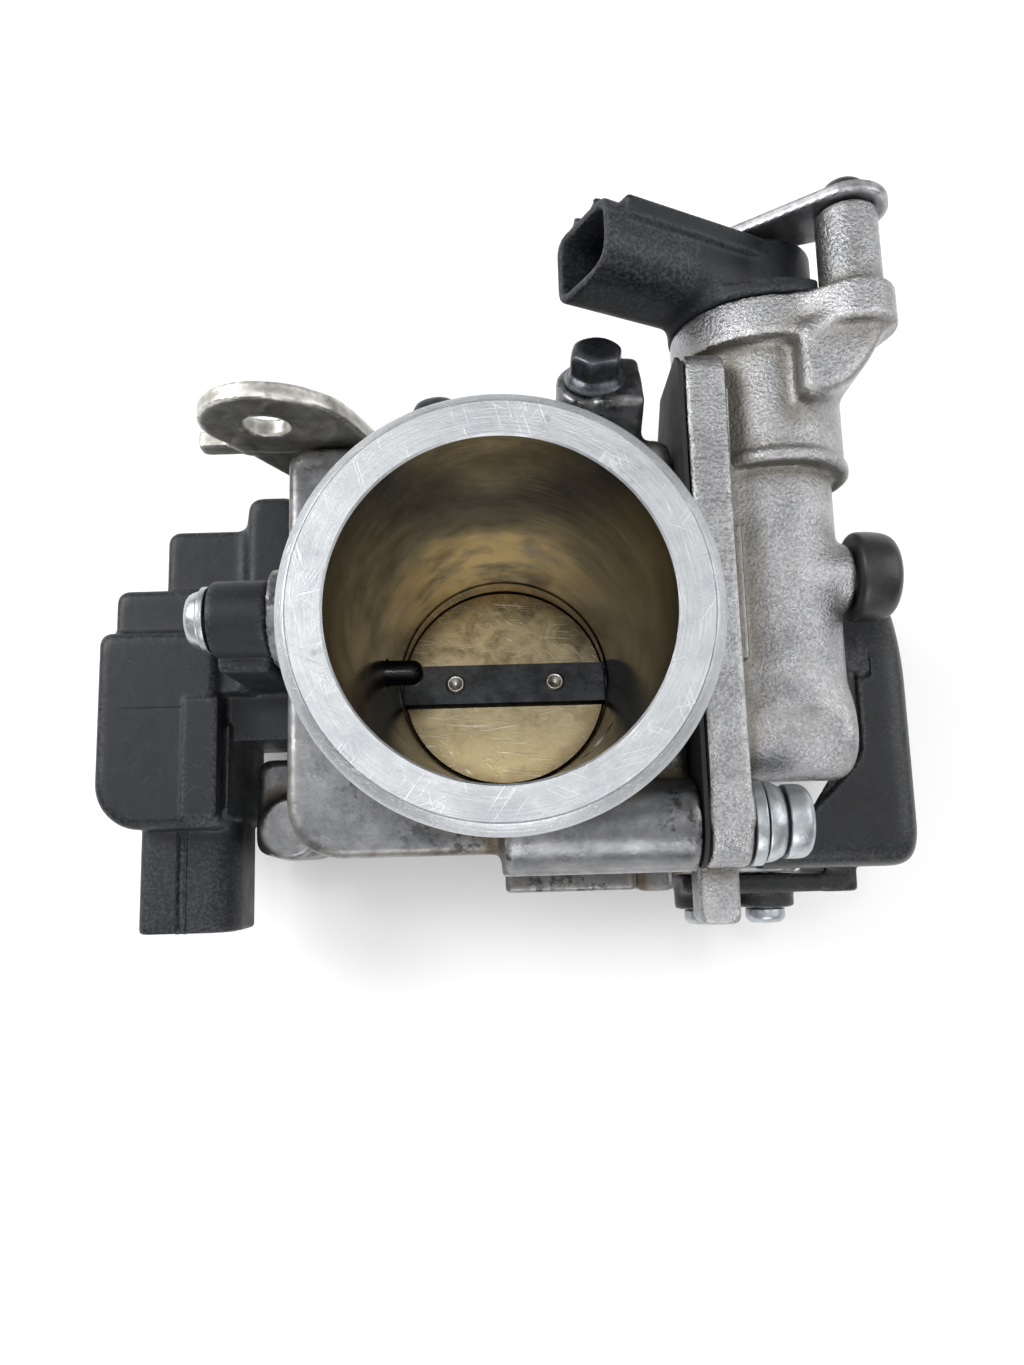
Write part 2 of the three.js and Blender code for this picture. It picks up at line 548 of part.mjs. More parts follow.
function addIdleAir() {
  add(idleAir, 'idle_air_housing', idleAirHousing(), 'brightCast');
  add(idleAir, 'idle_air_gasket', idleAirGasket(), 'gasket');
  add(idleAir, 'idle_air_motor', idleAirMotor(), 'plastic');
  add(idleAir, 'motor_o_ring', ring('y', 7.75, 6.65, 52.9, 55.1, [VALVE.x, VALVE.z]), 'rubber');
  add(idleAir, 'idle_valve_pintle', valvePintle(), 'steel');
  const seat = new THREE.Matrix4().makeTranslation(0, 20.5, 0);
  const pins = placed(bladeRow(4, 3, 9), alongConnector().multiply(seat));
  add(idleAir, 'idle_air_terminals', pins, 'tin');
  const postAt = [POST.x, POST.z];
  const plateBottom = MOTOR_TOP + 0.6;
  const plate = pushed('y', strap(postAt, 7, [43, 34.5], 3.6), plateBottom, plateBottom + 2, 12);
  const plateHole = rod('y', 2.5, plateBottom - 1, plateBottom + 3, postAt);
  add(idleAir, 'set_plate', cut(plate, plateHole), 'steel');
  const head = plateBottom + 2 + GAP;
  add(idleAir, 'set_plate_screw', turned('y', [
    [0, 62], [2, 62], [2, head], [3.9, head], [3.9, head + 1.6], [3, head + 3], [1.4, head + 3.8],
    [0, head + 3.9],
  ], postAt), 'blackSteel');
  addHousingScrews();
  add(idleAir, 'port_nipple', cut(
    rod('x', 3.2, 53, 64.2, [NIPPLE.y, NIPPLE.z]),
    rod('x', 1.9, 52, 65, [NIPPLE.y, NIPPLE.z]),
  ), 'steel');
  add(idleAir, 'port_cap', cut(
    turned('x', [[0, 59.4], [7.7, 59.4], [7.7, 64.2], [7, 66], [5.3, 67], [0, 67.2]],
      [NIPPLE.y, NIPPLE.z]),
    rod('x', 3.5, 59, 65, [NIPPLE.y, NIPPLE.z]),
  ), 'rubber');
}

function idleAirGasket() {
  const sheet = pushed('x', flangeOutline(), BLOCK.x1 + 0.3, PLATE_X0 - 0.3, 10);
  const holes = [
    rod('x', 3.3, 29, 33, [LOWER_SCREW.y, LOWER_SCREW.z]),
    rod('x', 3, 29, 33, [UPPER_SCREW.y, UPPER_SCREW.z]),
    rod('x', 3.6, 29, 33, [PORT_IN.y + 2, PORT_IN.z]),
    rod('x', 3.6, 29, 33, [PORT_OUT.y, PORT_OUT.z]),
  ];
  return cut(sheet, ...holes);
}

function addHousingScrews() {
  const low = [LOWER_SCREW.y, LOWER_SCREW.z];
  add(idleAir, 'housing_washer', ring('x', 6.9, 3, PLATE_X1 + 0.3, PLATE_X1 + 2.2, low), 'zinc');
  const dished = turned('x', [[0, 40.5], [6.5, 40.5], [6.3, 42], [5.4, 43.6], [0, 43.6]], low);
  add(idleAir, 'housing_dished_washer', cut(dished, rod('x', 3, 40, 44, low)), 'zinc');
  add(idleAir, 'housing_screw_lower', turned('x', [
    [0, 8], [2.6, 8], [2.6, 43.9], [5.9, 43.9], [5.9, 47.1], [5, 48], [0, 48],
  ], low), 'zinc');
  add(idleAir, 'housing_screw_upper', turned('x', [
    [0, 24], [2.2, 24], [2.2, 38.3], [5, 38.3], [5, 41.2], [4, 42.3], [0, 42.3],
  ], [UPPER_SCREW.y, UPPER_SCREW.z]), 'zinc');
}

// ---------------------------------------------------------------- cable drum's cover
function drumCover() {
  const outer = outline([[-37, -16, 3], [-37, 20, 5], [5, 20, 8], [21, 9.5, 6], [28, -6, 6], [28, -18, 4],
    [14, -18, 4], [4, -21, 6], [-20, -20, 6]]);
  const inner = outline([[-35, -40], [-35, 18, 3.5], [4.3, 18, 6], [19.5, 8, 5], [26, -6.6, 5], [26, -40]]);
  const w = COVER_WALL;
  const hood = cut(pushed('x', outer, HOOD_X0, COVER_X1), pushed('x', inner, HOOD_X0 - 1, COVER_X1 - w));
  const behind = box(HOOD_X0 - 1, COVER_X0, -50, 50, -40, 12);
  const plan = outline([[HOOD_X0, -38], [75, -38], [75, 30], [COVER_X0 - 0.5, 30], [COVER_X0 - 0.5, -19],
    [52, -30, 3], [HOOD_X0, -31]]);
  const shell = cut(hood.intersect(pushed('z', plan, -30, 30)), behind);
  const boss = rod('x', 4.6, 57.8, COVER_X1 - 1, [COVER_BOSS.y, COVER_BOSS.z]);
  const foot = pushed('y', rectangle(33, 66, -12, 6, 4), -41.6, -38.1);
  const lobes = COVER_FOOT_SCREWS_X.map((x) => rod('y', 5.6, -44.6, -40, [x, -3]));
  const kneeSide = outline([[-41, -11.4], [-36, -11.4], [-36, 5.4], [-41, 5.4, 2]]);
  const knee = pushed('x', kneeSide, COVER_X0 + 0.4, 65.4);
  const cuts = [
    rod('x', 2.3, 57, COVER_X1 + 1, [COVER_BOSS.y, COVER_BOSS.z]),
    rod('x', 4, 71.6, COVER_X1 + 1, [COVER_BOSS.y, COVER_BOSS.z]),
    ...COVER_FOOT_SCREWS_X.map((x) => rod('y', 2.3, -46, -37, [x, -3])),
  ];
  return cut(join(shell, boss, foot, knee, ...lobes), ...cuts);
}

function addDrumSide() {
  add(drumSide, 'drum_cover', drumCover(), 'plastic');
  add(drumSide, 'cover_screw_side', turned('x', [
    [0, 49], [1.8, 49], [1.8, 71.9], [3.6, 71.9], [3.6, 73.2], [2.9, 73.9], [0, 73.9],
  ], [COVER_BOSS.y, COVER_BOSS.z]), 'zinc');
  COVER_FOOT_SCREWS_X.forEach((x, i) => add(drumSide, `cover_screw_foot_${i + 1}`, turned('y', [
    [0, -47.6], [2.9, -47.6], [3.8, -46.6], [3.8, -44.9], [1.8, -44.9], [1.8, -35], [0, -35],
  ], [x, -3]), 'zinc'));
  const at = [STOP_SCREW.x, STOP_SCREW.y];
  add(drumSide, 'idle_stop_screw', turned('z', [
    [0, -28.5], [3.4, -28.5], [3.4, -25.5], [2, -25.5], [2, -5.8], [1.4, -4.6], [0, -4.6],
  ], at), 'zinc');
  add(drumSide, 'idle_stop_spring', coil(2.95, 0.45, -24.7, -19.8, 3, 8, at, 'z'), 'steel');
}

add(casting, 'main_body', mainBody(), 'cast');
addShaftSupports();
addThrottle();
addSensor();
addBracket();
addIdleAir();
addDrumSide();

// Origin at the bottom centre of the whole part.
const extent = new THREE.Box3().setFromObject(group);
const middle = extent.getCenter(new THREE.Vector3());
casting.position.set(-middle.x, -middle.y, -extent.min.z);

export default group;
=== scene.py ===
"""Looks of the throttle body: fine castings, turned metal and moulded plastic around its CAD frame.

Shapes are written in millimetres from the point where the duct's axis meets the shaft's axis:
+X to the cable drum, +Y to the idle-air motor, +Z out of the intake mouth.
"""
import math

import bmesh
import bpy
import numpy as np
from mathutils import Matrix, Vector


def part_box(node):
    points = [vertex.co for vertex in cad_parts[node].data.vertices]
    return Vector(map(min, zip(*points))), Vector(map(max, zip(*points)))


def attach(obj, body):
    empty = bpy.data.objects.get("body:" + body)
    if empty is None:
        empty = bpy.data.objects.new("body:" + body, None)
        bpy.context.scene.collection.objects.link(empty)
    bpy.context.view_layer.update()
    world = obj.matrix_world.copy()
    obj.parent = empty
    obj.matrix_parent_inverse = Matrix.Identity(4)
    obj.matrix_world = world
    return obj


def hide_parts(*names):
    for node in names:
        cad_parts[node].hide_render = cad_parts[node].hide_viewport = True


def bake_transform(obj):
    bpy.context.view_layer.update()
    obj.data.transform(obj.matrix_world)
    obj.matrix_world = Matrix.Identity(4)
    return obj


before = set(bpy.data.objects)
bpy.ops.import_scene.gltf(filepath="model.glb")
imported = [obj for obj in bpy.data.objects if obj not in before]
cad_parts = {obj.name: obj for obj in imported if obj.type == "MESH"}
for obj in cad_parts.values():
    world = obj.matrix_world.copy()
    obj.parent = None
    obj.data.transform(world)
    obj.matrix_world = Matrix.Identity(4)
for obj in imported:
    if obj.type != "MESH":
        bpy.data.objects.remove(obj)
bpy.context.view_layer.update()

MM = 0.001

plate_low, plate_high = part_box("throttle_plate")
shaft_low, shaft_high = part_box("throttle_shaft")
ORIGIN = Vector((
    (plate_low.x + plate_high.x) / 2,
    (plate_low.y + plate_high.y) / 2,
    (shaft_low.z + shaft_high.z) / 2,
))

# ------------------------------------------------------------------ driving dimensions
BORE_R = 20.0
THROAT_R = 20.3
MOUTH_Z = 70.0
MOUTH_R = 23.84
LIP_FLAT_R = 28.9
LIP_R = 30.66
SPIGOT_R = 27.5
BASE_Z = -32.0
OUTLET_R = 24.5
BLOCK_Z = (-20.0, 36.0)
SHAFT_R = 4.5
SHAFT_FLAT = 2.2
PLATE_R = 19.7
PLATE_T = 1.5
PLUG_HEADS = (3.6, 6.3)
CLOSED_TILT = math.radians(8)
PLATE_SCREW_X = (-9.6, 10.0)
EAR = (6.4, 38.0)
EAR_LOW = (21.0, -17.5)
PROBE = (-0.2, 20.0)
PROBE_R = 2.35
LOWER_SCREW = (-29.0, 38.0)
UPPER_SCREW = (30.0, 10.0)
PORT_IN = (-14.5, 29.0)
VALVE = (48.0, 29.0)
POST = (60.3, 43.5)
CUP_TOP = 58.0
MOTOR_TOP = 72.2
NIPPLE = (12.0, 33.0)
BRACKET_Y = (37.3, 40.1)
BRACKET_HOLE = (-37.7, 44.0)
BRACKET_BOLTS = ((-18.0, 11.0), (10.0, 11.0))
PLUG_LEAN = math.radians(32)
PLUG_SEATS = ((-9.7, 37.7, 41.0), (16.7, 45.0, 41.0))
COVER_BOSS = (22.0, -12.0)
FOOT_SCREWS_X = (38.0, 50.0)
STOP_SCREW = (58.7, -13.5)
CONNECTOR_LEAN = math.atan2(0.47, -0.88)
CONNECTOR_Y = 65.3
ROUND = 128                    # segments of a large turned piece
WIRE_STEPS = 36                # points in each turn of a spring
SHARP = math.radians(38)       # edges that bend further than this stay crisp
TURNED_SHARP = math.radians(24)
FAR = 50.0                     # the field's value away from everything
WEAR_DEPTH, WEAR_RANGE = 0.9, 0.45
# reaches of the occlusion test behind the dirt mask, which also paints shade into corners
DIRT_AND_SHADE_REACHES = (1.5, 3.5, 7.0)

# ------------------------------------------------------------------ light and camera, in metres
FLOOR_SIZE, FLOOR_TONE = 4, 0.93
HORIZON_LIGHT, ZENITH_LIGHT = 0.46, 1.25
ZENITH_SPREAD = (0.70, 0.99)
LIGHTS = (
    ("key", (-0.48, 0.22, 0.46), 0.36, 3.2),
    ("fill", (0.52, 0.12, 0.40), 0.45, 1.4),
    ("front", (0.02, -0.60, 0.42), 0.4, 1.8),
    ("lamp", (-0.03, 0.10, 0.80), 0.07, 0.4),
)
LIGHT_AIM = (0, 0, 0.06)
ELEVATION, AZIMUTH = math.radians(80.71), math.radians(-1.58)
DISTANCE, ASIDE, ABOVE = 205.93, 1.53, 0.87
LENS, SENSOR = 27.09, 36

# ------------------------------------------------------------------ distance fields
# A shape is (field, low corner, high corner). The field gives the distance to its surface,
# below zero inside, at the points (x, y, z), which may be any arrays that broadcast.
BESIDE = {"x": (1, 2, 0), "y": (0, 2, 1), "z": (0, 1, 2)}


def soft_max(a, b, k):
    if k <= 0:
        return np.maximum(a, b)
    h = np.maximum(k - np.abs(a - b), 0) / k
    return np.maximum(a, b) + h * h * k / 4


def soft_min(a, b, k):
    return -soft_max(-a, -b, k)


def between(place, start, end):
    return np.abs(place - (start + end) / 2) - (end - start) / 2


def corners_of(axis, low, high, start, end):
    first, second, along = BESIDE[axis]
    a, b = [0.0] * 3, [0.0] * 3
    a[first], a[second], a[along] = low[0], low[1], start
    b[first], b[second], b[along] = high[0], high[1], end
    return np.array(a), np.array(b)


def prism(axis, points, start, end, corner=1.5, edge=0.7):
    """A convex outline pushed along an axis, with rounded corners and edges."""
    first, second, along = BESIDE[axis]
    points = np.array(points, float)
    centre = points.mean(0)
    planes = []
    for p, q in zip(points, np.roll(points, -1, 0)):
        n = np.array([q[1] - p[1], p[0] - q[0]])
        n /= np.linalg.norm(n)
        if n @ (centre - p) > 0:
            n = -n
        planes.append((n, n @ p))

    def field(p):
        flat = None
        for n, d in planes:
            side = p[first] * n[0] + p[second] * n[1] - d
            flat = side if flat is None else soft_max(flat, side, corner)
        return soft_max(flat, between(p[along], start, end), edge)

    return (field, *corners_of(axis, points.min(0), points.max(0), start, end))


def block(x0, x1, y0, y1, z0, z1, edge=1.0):
    return prism("z", [(x0, y0), (x1, y0), (x1, y1), (x0, y1)], z0, z1, edge, edge)


def rod(axis, radius, start, end, at=(0.0, 0.0), edge=0.6, end_radius=None):
    first, second, along = BESIDE[axis]
    last = radius if end_radius is None else end_radius

    def field(p):
        share = np.clip((p[along] - start) / (end - start), 0, 1)
        away = np.sqrt((p[first] - at[0]) ** 2 + (p[second] - at[1]) ** 2)
        wall = away - radius - (last - radius) * share
        return soft_max(wall, between(p[along], start, end), edge)

    widest = max(radius, last)
    low = (at[0] - widest, at[1] - widest)
    high = (at[0] + widest, at[1] + widest)
    return (field, *corners_of(axis, low, high, start, end))


def strap(axis, p0, r0, p1, r1, start, end, edge=0.5):
    """Two round ends and what lies between them."""
    first, second, along = BESIDE[axis]
    run = (p1[0] - p0[0], p1[1] - p0[1])
    length = run[0] ** 2 + run[1] ** 2

    def field(p):
        a, b = p[first] - p0[0], p[second] - p0[1]
        share = np.clip((a * run[0] + b * run[1]) / length, 0, 1)
        away = np.sqrt((a - share * run[0]) ** 2 + (b - share * run[1]) ** 2)
        wall = away - r0 - (r1 - r0) * share
        return soft_max(wall, between(p[along], start, end), edge)

    low = (min(p0[0] - r0, p1[0] - r1), min(p0[1] - r0, p1[1] - r1))
    high = (max(p0[0] + r0, p1[0] + r1), max(p0[1] + r0, p1[1] + r1))
    return (field, *corners_of(axis, low, high, start, end))


def outside(axis, radius, start, end, reach):
    """Everything further than a radius from an axis, as a groove's cutter."""
    first, second, along = BESIDE[axis]

    def field(p):
        away = np.sqrt(p[first] ** 2 + p[second] ** 2)
        return soft_max(radius - away, between(p[along], start, end), 0.4)

    return (field, *corners_of(axis, (-reach, -reach), (reach, reach), start, end))


def placed(shape, turn, at):
    """A shape carried from its own frame: turn's columns are its axes, at is its origin."""
    field, low, high = shape
    turn, at = np.array(turn, float), np.array(at, float)

    def moved(p):
        x, y, z = p[0] - at[0], p[1] - at[1], p[2] - at[2]
        return field([turn[0, i] * x + turn[1, i] * y + turn[2, i] * z for i in range(3)])

    ends = np.array([low, high])
    spread = np.array([
        turn @ [ends[i, 0], ends[j, 1], ends[k, 2]] + at
        for i in (0, 1) for j in (0, 1) for k in (0, 1)
    ])
    return moved, spread.min(0), spread.max(0)


def about_x(angle):
    c, s = math.cos(angle), math.sin(angle)
    return np.array([[1, 0, 0], [0, c, -s], [0, s, c]])


class Body:
    """A list of joined and cut shapes, with the fillet radius of each."""

    def __init__(self, step):
        self.step = step
        self.steps = []

    def add(self, *shapes, fillet=1.5):
        self.steps += [(shape, fillet, False) for shape in shapes]
        return self

    def cut(self, *shapes, fillet=0.5):
        self.steps += [(shape, fillet, True) for shape in shapes]
        return self

    def merge(self, total, value, fillet, cutting):
        return soft_max(total, -value, fillet) if cutting else soft_min(total, value, fillet)

    def at(self, points):
        p = [points[:, i] for i in range(3)]
        total = np.full(len(points), FAR)
        for (field, low, high), fillet, cutting in self.steps:
            total = self.merge(total, field(p), fillet, cutting)
        return total

    def grid(self):
        """The field on a regular grid round all that is added."""
        lows = [low for (f, low, high), k, cutting in self.steps if not cutting]
        highs = [high for (f, low, high), k, cutting in self.steps if not cutting]
        low, high = np.min(lows, 0) - 2 * self.step, np.max(highs, 0) + 2 * self.step
        axes = [np.arange(a, b + self.step, self.step) for a, b in zip(low, high)]
        total = np.full([len(a) for a in axes], FAR)
        for (field, start, end), fillet, cutting in self.steps:
            reach = fillet + 2 * self.step
            window = tuple(
                slice(np.searchsorted(a, s - reach), np.searchsorted(a, e + reach))
                for a, s, e in zip(axes, start, end)
            )
            if any(w.stop <= w.start for w in window):
                continue
            p = np.ix_(*[a[w] for a, w in zip(axes, window)])
            total[window] = self.merge(total[window], field(p), fillet, cutting)
        return total, axes


def slope(body, points, reach):
    """The field's direction of steepest rise at the points, by differences."""
    rise = np.empty_like(points)
    for i in range(3):
        shift = np.zeros(3)
        shift[i] = reach
        rise[:, i] = body.at(points + shift) - body.at(points - shift)
    return rise / (2 * reach)


def surface(body):
    """Vertices and quads where the body's field is zero."""
    d, axes = body.grid()
    inside = d < 0
    shape = tuple(n - 1 for n in d.shape)
    count = np.zeros(shape, np.int8)
    for i in (0, 1):
        for j in (0, 1):
            for k in (0, 1):
                count += inside[i:i + shape[0], j:j + shape[1], k:k + shape[2]]
    cells = np.argwhere((count > 0) & (count < 8))
    total, crossings = np.zeros((len(cells), 3)), np.zeros(len(cells))
    for axis in range(3):
        first, second = [i for i in range(3) if i != axis]
        for i in (0, 1):
            for j in (0, 1):
                a = cells.copy()
                a[:, first] += i
                a[:, second] += j
                b = a.copy()
                b[:, axis] += 1
                da, db = d[tuple(a.T)], d[tuple(b.T)]
                crossed = (da < 0) != (db < 0)
                share = np.where(crossed, da / np.where(crossed, da - db, 1), 0)
                point = a.astype(float)
                point[:, axis] += share
                total += point * crossed[:, None]
                crossings += crossed
    points = total / crossings[:, None] * body.step + [a[0] for a in axes]
    index = np.full(shape, -1)
    index[tuple(cells.T)] = np.arange(len(cells))
    quads = []
    for axis in range(3):
        second, third = (axis + 1) % 3, (axis + 2) % 3
        start = np.moveaxis(inside, axis, 0)[:-1]
        end = np.moveaxis(inside, axis, 0)[1:]
        for from_inside in (True, False):
            crossed = (start & ~end) if from_inside else (~start & end)
            edges = np.argwhere(np.moveaxis(crossed, 0, axis))
            rows = np.all(edges > 0, axis=1) | ((edges[:, axis] == 0) & (edges[:, second] > 0)
                                                & (edges[:, third] > 0))
            edges = edges[rows]
            one, two = np.zeros(3, int), np.zeros(3, int)
            one[second], two[third] = 1, 1
            ring = [edges, edges - one, edges - one - two, edges - two]
            quad = np.stack([index[tuple(np.minimum(e, np.array(shape) - 1).T)] for e in ring], 1)
            quads.append(quad if from_inside else quad[:, ::-1])
    quads = np.concatenate(quads)
    return points, quads[(quads >= 0).all(1)]


def relaxed(body, points, quads):
    """Evens out the vertices and puts them back on the surface."""
    for _ in range(2):
        middles = points[quads].mean(1)
        total, count = np.zeros_like(points), np.zeros(len(points))
        for i in range(4):
            np.add.at(total, quads[:, i], middles)
            np.add.at(count, quads[:, i], 1)
        points = points * 0.4 + 0.6 * total / np.maximum(count, 1)[:, None]
        for _ in range(2):
            rise = slope(body, points, 0.15 * body.step)
            steep = np.maximum((rise ** 2).sum(1), 0.25)
            move = np.clip(body.at(points) / steep, -body.step, body.step)
            points = points - rise * move[:, None]
    return points


# ------------------------------------------------------------------ meshes
class Mesh:
    """Vertices, faces and per-vertex wear and dirt with painted shade, gathered from several closed
    forms.
    """

    def __init__(self):
        self.points, self.faces, self.wear, self.dirt_and_shade = [], [], [], []
        self.count = 0

    def put(self, points, faces, wear=None, dirt_and_shade=None):
        points = np.asarray(points, float)
        self.points.append(points)
        self.faces += [tuple(int(v) + self.count for v in face) for face in faces]
        self.wear.append(np.zeros(len(points)) if wear is None else wear)
        self.dirt_and_shade.append(np.zeros(len(points)) if dirt_and_shade is None else dirt_and_shade)
        self.count += len(points)
        return self

    def cast(self, body):
        """The surface of a Body, with wear on its edges and dirt with painted shade in its corners.
        """
        points, quads = surface(body)
        points = relaxed(body, points, quads)
        normal = slope(body, points, 0.3)
        normal /= np.maximum(np.linalg.norm(normal, axis=1), 1e-6)[:, None]
        under = body.at(points - normal * WEAR_DEPTH)
        wear = np.clip((under + WEAR_DEPTH) / WEAR_RANGE, 0, 1)
        # how enclosed each point is: an occlusion measure that stands for dirt and for painted
        # shade in corners and recesses
        dirt_and_shade = np.zeros(len(points))
        for reach in DIRT_AND_SHADE_REACHES:
            dirt_and_shade += np.clip(1 - body.at(points + normal * reach) / reach, 0, 1) / 3
        return self.put(points, quads, wear, dirt_and_shade)

    def turn(self, axis, profile, at=(0.0, 0.0), segments=48, turn=None, origin=(0, 0, 0)):
        """A turned form from its half profile, [radius, along, corner radius]."""
        profile = rounded(profile)
        closed = profile[0][0] > 1e-6 or profile[-1][0] > 1e-6
        first, second, along = BESIDE[axis]
        angle = np.arange(segments) * 2 * math.pi / segments
        points = []
        for radius, height in profile:
            ring = np.empty((segments, 3))
            ring[:, first] = at[0] + radius * np.cos(angle)
            ring[:, second] = at[1] + radius * np.sin(angle)
            ring[:, along] = height
            points.append(ring)
        rows = len(profile) if closed else len(profile) - 1
        faces = []
        for row in range(rows):
            a, b = row * segments, (row + 1) % len(profile) * segments
            for i in range(segments):
                j = (i + 1) % segments
                faces.append((a + i, a + j, b + j, b + i))
        points = np.concatenate(points)
        if turn is not None:
            points = points @ np.array(turn).T + np.array(origin)
        return self.put(points, faces)

    def wire(self, path, radius, sides=10):
        """A round wire along a path, closed at both ends."""
        path = np.asarray(path, float)
        along = np.gradient(path, axis=0)
        along /= np.linalg.norm(along, axis=1)[:, None]
        side = np.cross(along[0], (0.3, 0.2, 0.9))
        points = []
        for place, direction in zip(path, along):
            side = side - direction * (side @ direction)
            side /= np.linalg.norm(side)
            up = np.cross(direction, side)
            angle = np.arange(sides)[:, None] * 2 * math.pi / sides
            points.append(place + radius * (np.cos(angle) * side + np.sin(angle) * up))
        faces = []
        for row in range(len(path) - 1):
            for i in range(sides):
                j = (i + 1) % sides
                a, b = row * sides, (row + 1) * sides
                faces.append((a + i, a + j, b + j, b + i))
        faces.append(tuple(range(sides - 1, -1, -1)))
        last = (len(path) - 1) * sides
        faces.append(tuple(range(last, last + sides)))
        return self.put(np.concatenate(points), faces)

    def object(self, name, looks, sharp=SHARP):
        mesh = bpy.data.meshes.new(name)
        points = np.concatenate(self.points) * MM + np.array(ORIGIN)
        mesh.from_pydata(points.tolist(), [], self.faces)
        for look in looks:
            mesh.materials.append(look)
        for label, values in (("wear", self.wear), ("dirt_and_shade", self.dirt_and_shade)):
            data = mesh.attributes.new(label, "FLOAT", "POINT")
            data.data.foreach_set("value", np.concatenate(values).astype(np.float32))
        mesh.validate()
        clean(mesh)
        mesh.shade_smooth()
        mesh.set_sharp_from_angle(angle=sharp)
        made = bpy.data.objects.new(name, mesh)
        bpy.context.scene.collection.objects.link(made)
        return made


def clean(mesh):
    """Welds the poles of turned forms and turns every face outwards."""
    work = bmesh.new()
    work.from_mesh(mesh)
    bmesh.ops.remove_doubles(work, verts=work.verts, dist=1e-7)
    bmesh.ops.recalc_face_normals(work, faces=work.faces)
    work.to_mesh(mesh)
    work.free()


def rounded(profile):
    """A profile whose corners [a, b, radius] are replaced by short curves."""
    made = []
    count = len(profile)
    for i, corner in enumerate(profile):
        point = np.array(corner[:2], float)
        radius = corner[2] if len(corner) > 2 else 0
        if radius <= 0 or i in (0, count - 1):
            made.append(tuple(point))
            continue
        before = np.array(profile[i - 1][:2], float) - point
        after = np.array(profile[i + 1][:2], float) - point
        enter = before / np.linalg.norm(before) * min(radius, np.linalg.norm(before) * 0.49)
        leave = after / np.linalg.norm(after) * min(radius, np.linalg.norm(after) * 0.49)
        for t in (0, 0.25, 0.5, 0.75, 1):
            made.append(tuple(point + enter * (1 - t) ** 2 + leave * t ** 2))
    return made


def piece(node, mesh, looks, body="casting"):
    """The visible form of a CAD node, riding on the same body."""
    made = mesh.object(f"{node}_form", looks)
    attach(made, body)
    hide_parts(node)
    return made


def pierced(made, *cutters):
    """Cuts forms out of an object's mesh for good."""
    tools = []
    for i, cutter in enumerate(cutters):
        tool = cutter.object(f"cutter_{i}", [])
        tool.hide_render = True
        tools.append(tool)
        modifier = made.modifiers.new("cut", "BOOLEAN")
        modifier.operation = "DIFFERENCE"
        modifier.solver = "EXACT"
        modifier.object = tool
    bpy.context.view_layer.update()
    graph = bpy.context.evaluated_depsgraph_get()
    mesh = bpy.data.meshes.new_from_object(made.evaluated_get(graph))
    made.modifiers.clear()
    made.data = mesh
    for tool in tools:
        bpy.data.objects.remove(tool)


# ------------------------------------------------------------------ materials
def settle(node, values):
    for name, value in values.items():
        node.inputs[name].default_value = value


